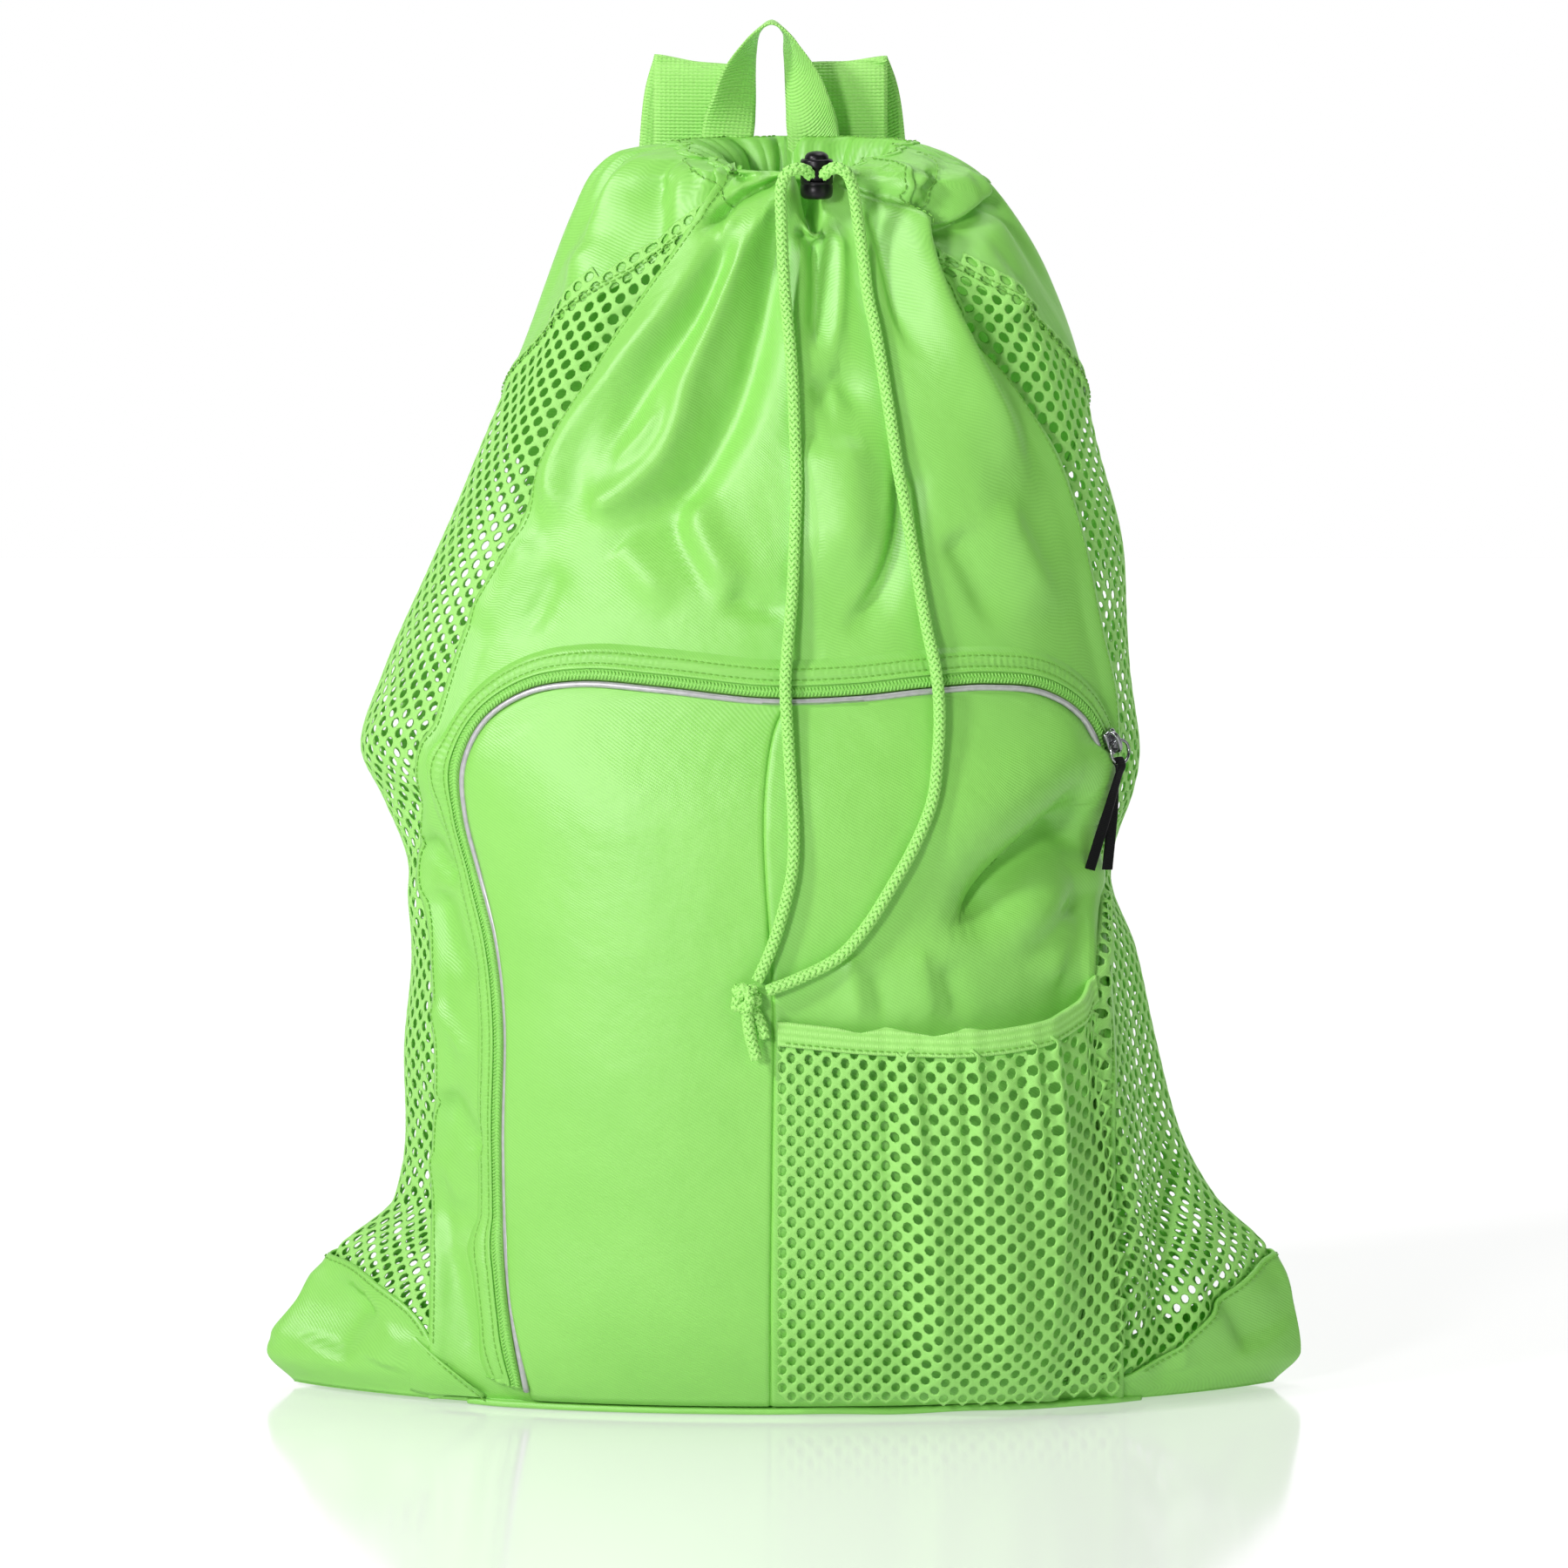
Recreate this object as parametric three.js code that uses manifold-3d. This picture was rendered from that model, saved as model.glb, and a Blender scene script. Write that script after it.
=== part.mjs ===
// Mesh equipment bag, standing. Millimetres, +Z up, front towards -Y, origin at the middle of the base.
import * as THREE from "three";
import { mergeVertices } from "three/addons/utils/BufferGeometryUtils.js";
import Module from "manifold-3d";

const wasm = await Module();
wasm.setup();

// Driving dimensions
const cloth = 1.2;
const netWall = 1.4;
const netBar = 0.13;
const webbing = 1.8;
const hemWall = 2.2;
const baseThick = 2;
const seamGap = 0.5;
const layerGap = 0.8;
const coverDepth = 1.6;
const gatherCount = 12;
const puffHeight = 8;
const pipingRadius = 1.5;
const zipperWidth = 11;
const bindingTall = 12;
const cordRadius = 3;
const strapWidth = 38;
const loopWidth = 25;
const ribbonWidth = 5.6;
const lockRadius = 7.75;

// Widths and depths of the bag by running height. Above 606 the cloth turns over the shoulders.
const sections = table("level z left right front back squareX squareY gather drop", [
  [0, 2.4, 238, 238, 80, 76, 2.2, 1.15, 0, 0],
  [16, 17, 251, 251, 87, 82, 2.2, 1.15, 0, 0],
  [45, 45, 231, 245, 94, 86, 2.2, 1.25, 0, 0],
  [70, 70, 212, 231, 98, 88, 2.2, 1.4, 0, 0],
  [95, 95, 186, 208, 101, 90, 2.3, 1.6, 0, 0],
  [125, 125, 181, 192, 103, 91, 2.5, 1.85, 0, 0],
  [170, 170, 184, 180, 105, 92, 2.6, 2, 0, 0],
  [215, 215, 181, 170, 105, 92, 2.6, 2, 0, 0],
  [250, 250, 181, 158, 104, 92, 2.6, 2, 0, 0],
  [290, 290, 191, 166, 101, 91, 2.6, 2, 0, 0],
  [318, 318, 202, 170, 98, 90, 2.5, 2, 0, 0],
  [350, 350, 193, 167, 94, 88, 2.4, 2, 0, 0],
  [400, 400, 172, 161, 86, 83, 2.3, 2, 0.3, 0],
  [450, 450, 149, 150, 77, 77, 2.2, 2, 0.8, 0],
  [500, 500, 127, 140, 66, 70, 2.1, 2, 1.6, 0],
  [540, 540, 111, 124, 55, 62, 2, 2, 2.4, 0],
  [570, 570, 98, 106, 46, 56, 2, 2, 3, 0],
  [590, 590, 87, 88, 39, 51, 2, 2, 3.2, 3],
  [606, 600, 73, 70, 33, 47, 2, 2, 3, 8],
  [624, 603, 52, 60, 29, 42, 2, 2, 2.6, 14],
  [640, 596, 36, 54, 27, 38, 2, 2, 2.2, 16],
  [660, 584, 26, 48, 25, 33, 2, 2, 2, 16],
]);

// Folds and dents: a ridge (or valley) about a middle angle and level, leaning with height
const folds = table("angle level wide tall lean lift", [
  [15, 606, 12, 42, 0, -11],
  [56, 262, 9, 26, 0.12, -7],
  [-32, 470, 8, 60, 0.09, 3],
  [34, 455, 9, 60, -0.06, 4],
  [-97, 200, 9, 70, 0, -6],
  [-78, 110, 7, 60, 0.03, 5],
  [128, 250, 14, 90, 0.05, -5],
  [-135, 300, 16, 90, -0.05, -5],
]);

// The upright pleat at the lower right: its ridge and the valley beside it, in X
const pleat = table("level ridgeX ridge valleyX valley", [
  [0, 168, 0, 182, 0],
  [30, 168, 3, 182, -3],
  [70, 169, 6, 183, -6],
  [104, 167, 8, 183, -8],
  [158, 158, 9, 175, -7],
  [200, 153, 8, 167, -4],
  [225, 150, 6, 163, -2],
  [262, 147, 0, 160, 0],
  [660, 147, 0, 160, 0],
]);
const pleatWide = 8;

// Seam stations: running height at the front and back seams, rise at the side, and the seams' places in X
const stations = table("row front back rise leftX rightX backX", [
  [0, 0, 0, 0, 168, 160, 165],
  [1, 10, 10, 55, 168, 160, 165],
  [2, 60, 55, 36, 167, 158, 163],
  [3, 110, 100, 16, 167, 156, 160],
  [4, 165, 150, 0, 165, 156, 158],
  [5, 215, 195, 0, 167, 154, 150],
  [6, 262, 240, 0, 172, 154, 146],
  [7, 300, 275, 0, 173, 159, 146],
  [8, 335, 305, 0, 162, 158, 146],
  [9, 375, 335, 0, 149, 150, 144],
  [10, 420, 365, 0, 125, 140, 140],
  [11, 465, 390, 0, 103, 124, 133],
  [12, 515, 415, 0, 73, 96, 126],
  [13, 565, 440, 0, 40, 64, 118],
  [14, 590, 530, 0, 28, 50, 86],
  [15, 606, 598, 0, 26, 46, 52],
  [16, 624, 624, 0, 26, 42, 36],
]);
const cornerRow = 1;
const yokeRow = 13;
const hemRow = 16;
const hemEnd = 660;
const hemColumns = 48;

// The zip pocket's edge from the lower left, over the top, to the lower right
const pocketEdge = table("x level", [
  [-122, 4],
  [-130, 60],
  [-132, 130],
  [-131, 190],
  [-135, 228],
  [-143, 260],
  [-150, 288],
  [-151, 312],
  [-141, 333],
  [-121, 347],
  [-96, 352],
  [-59, 350],
  [-8, 345],
  [34, 346],
  [67, 349],
  [97, 350],
  [122, 346],
  [140, 333],
  [149, 312],
  [148, 288],
  [144, 260],
  [141, 228],
  [140, 190],
  [140, 130],
  [136, 60],
  [126, 4],
]);
const leftCornerEnd = 10;
const rightCornerEnd = 15;
const centreSeam = 0.465;

// Top of the net pocket across its width, and how far it stands out there
const netTop = table("across level out", [
  [0, 196, 0.6],
  [0.2, 191.5, 4],
  [0.4, 190.5, 12],
  [0.63, 193, 14],
  [0.82, 200.5, 8],
  [1, 210, 0.6],
]);

// Hanging cord, from the lock to the knot
const leftLeg = [
  [12.2, -51.4, 591],
  [10.6, -54.6, 593.4],
  [5.9, -57.2, 594.6],
  [1.2, -58.2, 592.4],
  [-1.2, -58.6, 586.6],
  [-1.5, -58.6, 580],
  [-1.2, -58.4, 571],
  [-0.8, -59.4, 558.5],
  [0.4, -62.2, 537],
  [3.8, -71.4, 500.5],
  [5, -77, 474],
  [5.9, -82.2, 447],
  [5, -87, 420.5],
  [3.8, -90.6, 394],
  [1.7, -95.8, 370],
  [0.6, -100.4, 354.5],
  [0.9, -102.3, 345],
  [1.6, -104.4, 334],
  [2.9, -109.4, 314],
  [4.6, -115, 287],
  [3.8, -117.2, 267],
  [-0.8, -118.4, 246.5],
  [-6.3, -119, 229.5],
  [-12.6, -119.8, 215.2],
];
const rightLeg = [
  [18.8, -51.4, 591],
  [20.8, -54.4, 593.6],
  [25.2, -56.8, 595],
  [29.6, -57, 592.6],
  [32.2, -55.4, 587],
  [33.6, -53.6, 580],
  [34.9, -52, 571],
  [36.4, -51.4, 560.5],
  [37.8, -52.4, 550],
  [39.9, -55.8, 534],
  [43.3, -61.2, 518.5],
  [47.9, -67.6, 492.5],
  [51.2, -72.4, 472.5],
  [54.2, -76.2, 453],
  [58, -79.6, 433],
  [62.6, -83.4, 407],
  [67.2, -87, 381],
  [72.2, -93.4, 357],
  [73.5, -97, 338.5],
  [72.7, -101.4, 320],
  [70.1, -107.2, 299.5],
  [62.2, -111.4, 279.5],
  [51.2, -114.8, 260],
  [39.1, -117.2, 241],
  [26, -118.6, 226.5],
  [5.9, -119.8, 216],
  [-8, -120.8, 210.6],
];
const knotAt = [-17.6, -121.4, 207];
const tails = [
  [[-17.4, -122.4, 203], [-16.4, -122.6, 192], [-13, -122.4, 178.5]],
  [[-15, -119.6, 203], [-10.6, -119.6, 194], [-9.4, -119.6, 188]],
];

const lockAt = [15.5, -43, 591];

// Shoulder webbing as a side view: depth, height, share of its slant from the top to the lower corner,
// and tilt of its width where it folds over a little outwards
const strapRun = table("y z slope tilt", [
  [58, 572, 0, 0],
  [54.6, 590, 0, 0],
  [51, 606, 0, 0],
  [49, 622, 0, 0.04],
  [49.6, 634, 0, 0.1],
  [53, 639, 0, 0.12],
  [57, 635, 0.02, 0.1],
  [60.5, 622, 0.09, 0.04],
  [68, 590, 0.15, 0],
  [79, 530, 0.22, 0],
  [93, 450, 0.35, 0],
  [106, 360, 0.5, 0],
  [120.1, 270, 0.66, 0],
  [118.6, 190, 0.8, 0],
  [104, 110, 0.92, 0],
  [90, 45, 1, 0],
  [77, 12, 1, 0],
]);
const strapTopX = 37.5;
const strapShift = 6.5;
const strapFootX = 96;

// Grab loop: the webbing faces the front at its feet and twists edge-on at the top
const loopRun = table("x y z twist", [
  [-27, 38.4, 606, 0],
  [-24.6, 38.6, 619, 28],
  [-21.8, 38.2, 634, 48],
  [-18, 37.4, 645, 66],
  [-12.6, 36.8, 655, 84],
  [-5.8, 36.4, 659.3, 90],
  [1, 36.8, 654, 97],
  [4.6, 37.4, 645, 114],
  [8.4, 38.2, 634, 132],
  [11.8, 38.6, 619, 152],
  [14, 38.4, 606, 180],
]);

function table(columns, rows) {
  const names = columns.split(" ");
  return rows.map((row) => Object.fromEntries(names.map((name, i) => [name, row[i]])));
}

const mix = (a, b, t) => a + (b - a) * t;
const clamp = (v) => Math.min(Math.max(v, 0), 1);
const ease = (v) => clamp(v) ** 2 * (3 - 2 * clamp(v));
const vec = (p) => new THREE.Vector3(...p);

// A shape-keeping cubic through the rows of a table
function rowAt(rows, key, value) {
  const last = rows.length - 1;
  let i = 0;
  while (i < last - 1 && value > rows[i + 1][key]) {
    i += 1;
  }
  const steep = (j, name) => (rows[j + 1][name] - rows[j][name]) / (rows[j + 1][key] - rows[j][key]);
  const slope = (j, name) => {
    if (j === 0) {
      return steep(0, name);
    }
    if (j === last) {
      return steep(last - 1, name);
    }
    const before = steep(j - 1, name);
    const after = steep(j, name);
    return before * after <= 0 ? 0 : (2 * before * after) / (before + after);
  };
  const span = rows[i + 1][key] - rows[i][key];
  const t = (value - rows[i][key]) / span;
  const out = {};
  for (const name of Object.keys(rows[i])) {
    const from = rows[i][name];
    const to = rows[i + 1][name];
    const a = slope(i, name) * span;
    const b = slope(i + 1, name) * span;
    const bend = (2 * t ** 3 - 3 * t ** 2) * (from - to);
    out[name] = from + bend + (t ** 3 - 2 * t ** 2 + t) * a + (t ** 3 - t ** 2) * b;
  }
  return out;
}

// The bag's outside by angle (0 at the front middle, 90 at the right point) and running height
function shell(angle, level) {
  const row = rowAt(sections, "level", level);
  const turn = THREE.MathUtils.degToRad(angle);
  const s = Math.sin(turn);
  const c = Math.cos(turn);
  const wide = s < 0 ? row.left : row.right;
  const deep = c > 0 ? row.front : row.back;
  const x = wide * Math.sign(s) * Math.abs(s) ** (2 / row.squareX);
  const y = -deep * Math.sign(c) * Math.abs(c) ** (2 / row.squareY);
  let push = row.gather * Math.cos(gatherCount * turn);
  for (const fold of folds) {
    const from = angle - fold.angle - fold.lean * (level - fold.level);
    const across = (((from + 540) % 360) - 180) / fold.wide;
    const along = (level - fold.level) / fold.tall;
    push += fold.lift * Math.exp(-across * across - along * along);
  }
  const reach = 1 + push / Math.hypot(x, y);
  const p = rowAt(pleat, "level", level);
  const ridge = p.ridge * Math.exp(-(((x - p.ridgeX) / pleatWide) ** 2));
  const valley = p.valley * Math.exp(-(((x - p.valleyX) / pleatWide) ** 2));
  const forward = (ridge + valley) * ease(c * 5);
  return new THREE.Vector3(x * reach, y * reach - forward, row.z - row.drop * Math.max(c, 0) ** 2);
}

function shellNormal(angle, level) {
  const round = shell(angle + 0.6, level).sub(shell(angle - 0.6, level));
  const up = shell(angle, level + 0.8).sub(shell(angle, level - 0.8));
  return round.cross(up).normalize();
}

function skin(angle, level, lift) {
  return shell(angle, level).addScaledVector(shellNormal(angle, level), lift);
}

// The angle of a front seam from its place in X
function angleAt(x, level) {
  const row = rowAt(sections, "level", level);
  const share = Math.min(Math.abs(x) / (x < 0 ? row.left : row.right), 0.995);
  return Math.sign(x) * THREE.MathUtils.radToDeg(Math.asin(share ** (row.squareX / 2)));
}

function placeX(angle, level) {
  const row = rowAt(sections, "level", level);
  const s = Math.sin(THREE.MathUtils.degToRad(angle));
  return (s < 0 ? row.left : row.right) * Math.sign(s) * Math.abs(s) ** (2 / row.squareX);
}

// Rings of points joined into one closed body, with flat ends unless the rings close on themselves
function loft(rings, closed = false) {
  const size = rings[0].length;
  const count = rings.length;
  const index = [];
  const quad = (a, b, c, d) => index.push(a, b, c, a, c, d);
  for (let j = 0; j < (closed ? count : count - 1); j += 1) {
    const next = (j + 1) % count;
    for (let i = 0; i < size; i += 1) {
      const side = (i + 1) % size;
      quad(j * size + i, j * size + side, next * size + side, next * size + i);
    }
  }
  if (!closed) {
    const top = (count - 1) * size;
    for (let i = 0; i < size / 2 - 1; i += 1) {
      quad(i, size - 1 - i, size - 2 - i, i + 1);
      quad(top + i, top + i + 1, top + size - 2 - i, top + size - 1 - i);
    }
  }
  const geometry = new THREE.BufferGeometry();
  const places = rings.flat().flatMap((p) => p.toArray());
  geometry.setAttribute("position", new THREE.Float32BufferAttribute(places, 3));
  geometry.setIndex(index);
  return facingOut(geometry);
}

function facingOut(geometry) {
  const index = geometry.getIndex();
  const place = geometry.getAttribute("position");
  const [a, b, c] = [new THREE.Vector3(), new THREE.Vector3(), new THREE.Vector3()];
  let volume = 0;
  for (let i = 0; i < index.count; i += 3) {
    a.fromBufferAttribute(place, index.getX(i));
    b.fromBufferAttribute(place, index.getX(i + 1));
    c.fromBufferAttribute(place, index.getX(i + 2));
    volume += a.dot(b.cross(c));
  }
  if (volume < 0) {
    for (let i = 0; i < index.count; i += 3) {
      const kept = index.getX(i);
      index.setX(i, index.getX(i + 2));
      index.setX(i + 2, kept);
    }
  }
  return geometry;
}

// A cloth wall: a grid of points on the outside and the same grid moved in by the wall
function wall(columns, rows, pointAt, lift, thick) {
  const rings = [];
  for (let j = 0; j <= rows; j += 1) {
    const outer = [];
    const inner = [];
    for (let i = 0; i <= columns; i += 1) {
      const away = typeof lift === "function" ? lift(i / columns, j / rows) : lift;
      outer.push(pointAt(i / columns, j / rows, away));
      inner.unshift(pointAt(i / columns, j / rows, away - thick));
    }
    rings.push([...outer, ...inner]);
  }
  return loft(rings);
}

// A flat band along a route, given its middle and the direction across it
function band(route, steps, width, thick) {
  const middle = new THREE.CatmullRomCurve3(route.map((r) => vec(r.at)));
  const across = new THREE.CatmullRomCurve3(route.map((r) => vec(r.across)));
  const rings = [];
  for (let j = 0; j <= steps; j += 1) {
    const t = j / steps;
    const at = middle.getPoint(t);
    const along = middle.getTangent(t);
    const side = across.getPoint(t);
    side.addScaledVector(along, -side.dot(along)).setLength(width / 2);
    const out = side.clone().cross(along).setLength(thick / 2);
    rings.push([
      at.clone().sub(side).add(out),
      at.clone().add(side).add(out),
      at.clone().add(side).sub(out),
      at.clone().sub(side).sub(out),
    ]);
  }
  return loft(rings);
}

function tube(points, radius, sides, steps) {
  const ring = Array.from({ length: sides }, (_, i) => {
    const turn = (2 * Math.PI * i) / sides;
    return new THREE.Vector2(radius * Math.cos(turn), radius * Math.sin(turn));
  });
  return new THREE.ExtrudeGeometry(new THREE.Shape(ring), {
    steps,
    curveSegments: 1,
    extrudePath: new THREE.CatmullRomCurve3(points.map(vec)),
  });
}

function solidOf(geometry) {
  const bare = geometry.clone();
  bare.deleteAttribute("normal");
  bare.deleteAttribute("uv");
  const merged = mergeVertices(bare, 1e-4);
  return new wasm.Manifold(
    new wasm.Mesh({
      numProp: 3,
      vertProperties: new Float32Array(merged.getAttribute("position").array),
      triVerts: new Uint32Array(merged.getIndex().array),
    }),
  );
}

function geometryOf(solid) {
  const mesh = solid.getMesh();
  const geometry = new THREE.BufferGeometry();
  geometry.setAttribute("position", new THREE.BufferAttribute(mesh.vertProperties, 3));
  geometry.setIndex(new THREE.BufferAttribute(mesh.triVerts, 1));
  return geometry;
}

function joined(...pieces) {
  return geometryOf(pieces.map(solidOf).reduce((all, piece) => all.add(piece)));
}

// A net wall: the same two grids, with a four-cornered gap through every other cell
function netting(columns, rows, pointAt, thick) {
  const places = [];
  const facet = (...corners) => {
    for (let i = 1; i < corners.length - 1; i += 1) {
      places.push(corners[0], corners[i], corners[i + 1]);
    }
  };
  const outer = (c, r) => pointAt(c / columns, r / rows, 0);
  const inner = (c, r) => pointAt(c / columns, r / rows, -thick);
  const bridge = (a, b) => facet(outer(...a), inner(...a), inner(...b), outer(...b));
  for (let j = 0; j < rows; j += 1) {
    for (let i = 0; i < columns; i += 1) {
      const corners = [[i, j], [i + 1, j], [i + 1, j + 1], [i, j + 1]];
      const far = 1 - netBar;
      const gap = [[i + 0.5, j + netBar], [i + far, j + 0.5], [i + 0.5, j + far], [i + netBar, j + 0.5]];
      if ((i + j) % 2) {
        facet(...corners.map((p) => outer(...p)));
        facet(...corners.map((p) => inner(...p)).reverse());
        continue;
      }
      for (let k = 0; k < 4; k += 1) {
        const next = (k + 1) % 4;
        facet(outer(...corners[k]), outer(...corners[next]), outer(...gap[k]));
        facet(outer(...corners[next]), outer(...gap[next]), outer(...gap[k]));
        facet(inner(...gap[k]), inner(...corners[next]), inner(...corners[k]));
        facet(inner(...gap[k]), inner(...gap[next]), inner(...corners[next]));
        bridge(gap[next], gap[k]);
      }
    }
  }
  for (let i = 0; i < columns; i += 1) {
    bridge([i, 0], [i + 1, 0]);
    bridge([i + 1, rows], [i, rows]);
  }
  for (let j = 0; j < rows; j += 1) {
    bridge([columns, j], [columns, j + 1]);
    bridge([0, j + 1], [0, j]);
  }
  const geometry = new THREE.BufferGeometry();
  geometry.setAttribute("position", new THREE.Float32BufferAttribute(places.flatMap((p) => p.toArray()), 3));
  return facingOut(mergeVertices(geometry, 1e-4));
}

// Front and back panels between their seams, a row of points at each station
function seamShare(left, right) {
  return seamGap / left.distanceTo(right);
}

function panelPoint(face, row, across, lift) {
  const s = rowAt(stations, "row", row);
  const level = face === "front" ? s.front : s.back;
  let from = angleAt(-s.leftX, level);
  let to = angleAt(s.rightX, level);
  if (face === "back") {
    from = 180 - angleAt(s.backX, level);
    to = 180 - angleAt(-s.backX, level);
  }
  const gap = seamShare(shell(from, level), shell(to, level));
  return skin(mix(from, to, mix(gap, 1 - gap, across)), level, lift);
}

// Sides between the front and back seams: corner patch, net and yoke share these rows
function sidePlace(side, row, across) {
  const s = rowAt(stations, "row", row);
  const from = Math.abs(angleAt(side < 0 ? -s.leftX : s.rightX, s.front));
  const to = 180 - Math.abs(angleAt(side * s.backX, s.back));
  const gap = seamShare(shell(side * from, s.front), shell(side * to, s.back));
  const c = mix(gap, 1 - gap, across);
  return [side * mix(from, to, c), mix(s.front, s.back, c) + s.rise * Math.sin(Math.PI * c)];
}

function sidePoint(side, row, across, lift) {
  return skin(...sidePlace(side, row, across), lift);
}

// One patch of a side between two rows, kept clear of its neighbours
function sidePatch(side, fromRow, toRow) {
  const step = 0.02;
  const gapAt = (row, across) => {
    const near = sidePoint(side, row, across, 0);
    const next = row + (row > fromRow ? -step : step);
    return (step * seamGap) / near.distanceTo(sidePoint(side, next, across, 0));
  };
  return (c, r, lift) => {
    const low = fromRow === 0 ? 0 : fromRow + gapAt(fromRow, c);
    const high = toRow - gapAt(toRow, c);
    return sidePoint(side, mix(low, high, r), c, lift);
  };
}

// The net's columns stand closer together towards the front on the right, where the pleat is
function sideNet(side) {
  const patch = sidePatch(side, cornerRow, yokeRow);
  const lean = side > 0 ? 0.5 : 0;
  return netting(8, yokeRow - cornerRow, (c, r, lift) => patch(mix(c, c * c, lean), r, lift), netWall);
}

// The pocket's edge on the shell, with offsets outward along the shell
const edgeCurve = new THREE.CatmullRomCurve3(pocketEdge.map((p) => new THREE.Vector3(p.x, p.level, 0)));
const edgeCount = pocketEdge.length - 1;

function edgePlace(t, offset) {
  const at = (s) => {
    const p = edgeCurve.getPoint(clamp(s));
    return [angleAt(p.x, p.y), p.y];
  };
  const [angle, level] = at(t);
  const [a0, l0] = at(t - 0.004);
  const [a1, l1] = at(t + 0.004);
  const perAngle = shell(angle + 0.5, level).distanceTo(shell(angle - 0.5, level));
  const perLevel = shell(angle, level + 0.5).distanceTo(shell(angle, level - 0.5));
  const along = new THREE.Vector2((a1 - a0) * perAngle, (l1 - l0) * perLevel).normalize();
  return [angle - (offset * along.y) / perAngle, level + (offset * along.x) / perLevel];
}

function pocketPuff(angle, level) {
  const half = angle < 0 ? 50 : 58;
  const sideways = Math.max(1 - (angle / half) ** 2, 0) ** 0.7;
  return puffHeight * sideways * ease(level / 60) * ease((352 - level) / 70);
}

// A place on the pocket: straight across in X between its edges, bending to the top edge
function pocketPlace(across, up) {
  const inset = -pipingRadius - layerGap;
  const flat = (t) => {
    const [angle, level] = edgePlace(t / edgeCount, inset);
    return [placeX(angle, level), level];
  };
  const left = flat(up * leftCornerEnd);
  const right = flat(edgeCount - up * (edgeCount - rightCornerEnd));
  const topLeft = flat(leftCornerEnd);
  const topRight = flat(rightCornerEnd);
  const top = flat(mix(leftCornerEnd, rightCornerEnd, across));
  const [x, level] = [0, 1].map((k) => {
    const bend = top[k] - mix(topLeft[k], topRight[k], across);
    return mix(left[k], right[k], across) + bend * up ** 4;
  });
  return [angleAt(x, level), level];
}

function pocketWall(from, to, columns) {
  const pointAt = (c, r, lift) => {
    const [angle, level] = pocketPlace(mix(from, to, c), r);
    return skin(angle, level, lift + pocketPuff(angle, level));
  };
  return wall(columns, 11, pointAt, layerGap + cloth, cloth);
}

// The net pocket and its binding over the right half of the zip pocket
const netRight = table("level x", [
  [4, 151],
  [60, 153],
  [130, 150],
  [190, 143],
  [228, 140],
]);
const netFoot = 7;
const netClear = 1.4;
const zipClear = 1.3;

function netLift(across, up, angle, level) {
  const out = rowAt(netTop, "across", across).out;
  const ripple = 1.1 * Math.sin(across * 26) * ease(up) * ease(across * 6) * ease(6 - across * 6);
  const clear = netClear + zipClear * ease((across - 0.76) * 10);
  return layerGap + cloth + pocketPuff(angle, level) + netWall + clear + out * ease(up * 1.6) + ripple;
}

function netPatch(from, to) {
  return (c, r, lift) => {
    const top = rowAt(netTop, "across", c).level;
    const level = mix(from(top), to(top), r);
    const up = (level - netFoot) / (top - netFoot);
    const angle = mix(angleAt(-3, level), angleAt(rowAt(netRight, "level", level).x, level), c);
    return skin(angle, level, lift + netLift(c, up, angle, level));
  };
}

const netBody = netPatch(() => netFoot, (top) => top - bindingTall - 2 * seamGap);
const netBand = netPatch((top) => top - bindingTall, (top) => top);

function zipperBand() {
  const near = pipingRadius + layerGap;
  const far = near + zipperWidth;
  const ridge = (near + far) / 2;
  const profile = [
    [near, layerGap + 1],
    [ridge, layerGap + 2.2],
    [far, layerGap + 1],
    [far, layerGap],
    [ridge, layerGap],
    [near, layerGap],
  ];
  const rings = [];
  for (let j = 0; j <= 42; j += 1) {
    const t = mix(0.004, 0.996, j / 42);
    rings.push(profile.map(([offset, lift]) => skin(...edgePlace(t, offset), lift)));
  }
  return loft(rings);
}

function pipingTube() {
  const rings = [];
  for (let j = 0; j <= 42; j += 1) {
    const ring = [];
    for (let i = 0; i < 6; i += 1) {
      const turn = (Math.PI * i) / 3 + Math.PI / 6;
      const place = edgePlace(mix(0.004, 0.996, j / 42), pipingRadius * Math.cos(turn));
      ring.push(skin(...place, pipingRadius + layerGap + pipingRadius * Math.sin(turn)));
    }
    rings.push(ring);
  }
  return loft(rings);
}

function hemRing() {
  const rings = [];
  const start = stations[hemRow].front;
  for (let j = 0; j < hemColumns; j += 1) {
    const angle = (j * 360) / hemColumns;
    const perLevel = shell(angle, start + 0.5).distanceTo(shell(angle, start - 0.5));
    const levels = [start + 2.6 / perLevel, 643, hemEnd];
    const outer = levels.map((level) => skin(angle, level, 0.2));
    const inner = levels.map((level, i) => skin(angle, level, 0.2 - (i ? hemWall : cloth))).reverse();
    rings.push([...outer, ...inner]);
  }
  return loft(rings, true);
}

function baseLens() {
  const outline = Array.from({ length: 44 }, (_, i) => {
    const p = shell((i * 360) / 44, 0);
    return new THREE.Vector2(p.x, p.y);
  });
  return new THREE.ExtrudeGeometry(new THREE.Shape(outline), { depth: baseThick, bevelEnabled: false });
}

function strap(side) {
  const route = strapRun.map((r) => ({
    at: [side * mix(strapTopX, strapFootX, r.slope) - strapShift * (1 - r.slope), r.y, r.z],
    across: [1, side * 0.05, side * r.tilt],
  }));
  return band(route, 25, strapWidth, webbing);
}

function grabLoop() {
  const route = loopRun.map((r) => {
    const turn = THREE.MathUtils.degToRad(r.twist);
    return { at: [r.x, r.y, r.z], across: [Math.cos(turn), Math.sin(turn), 0] };
  });
  return band(route, 22, loopWidth, webbing);
}

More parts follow.
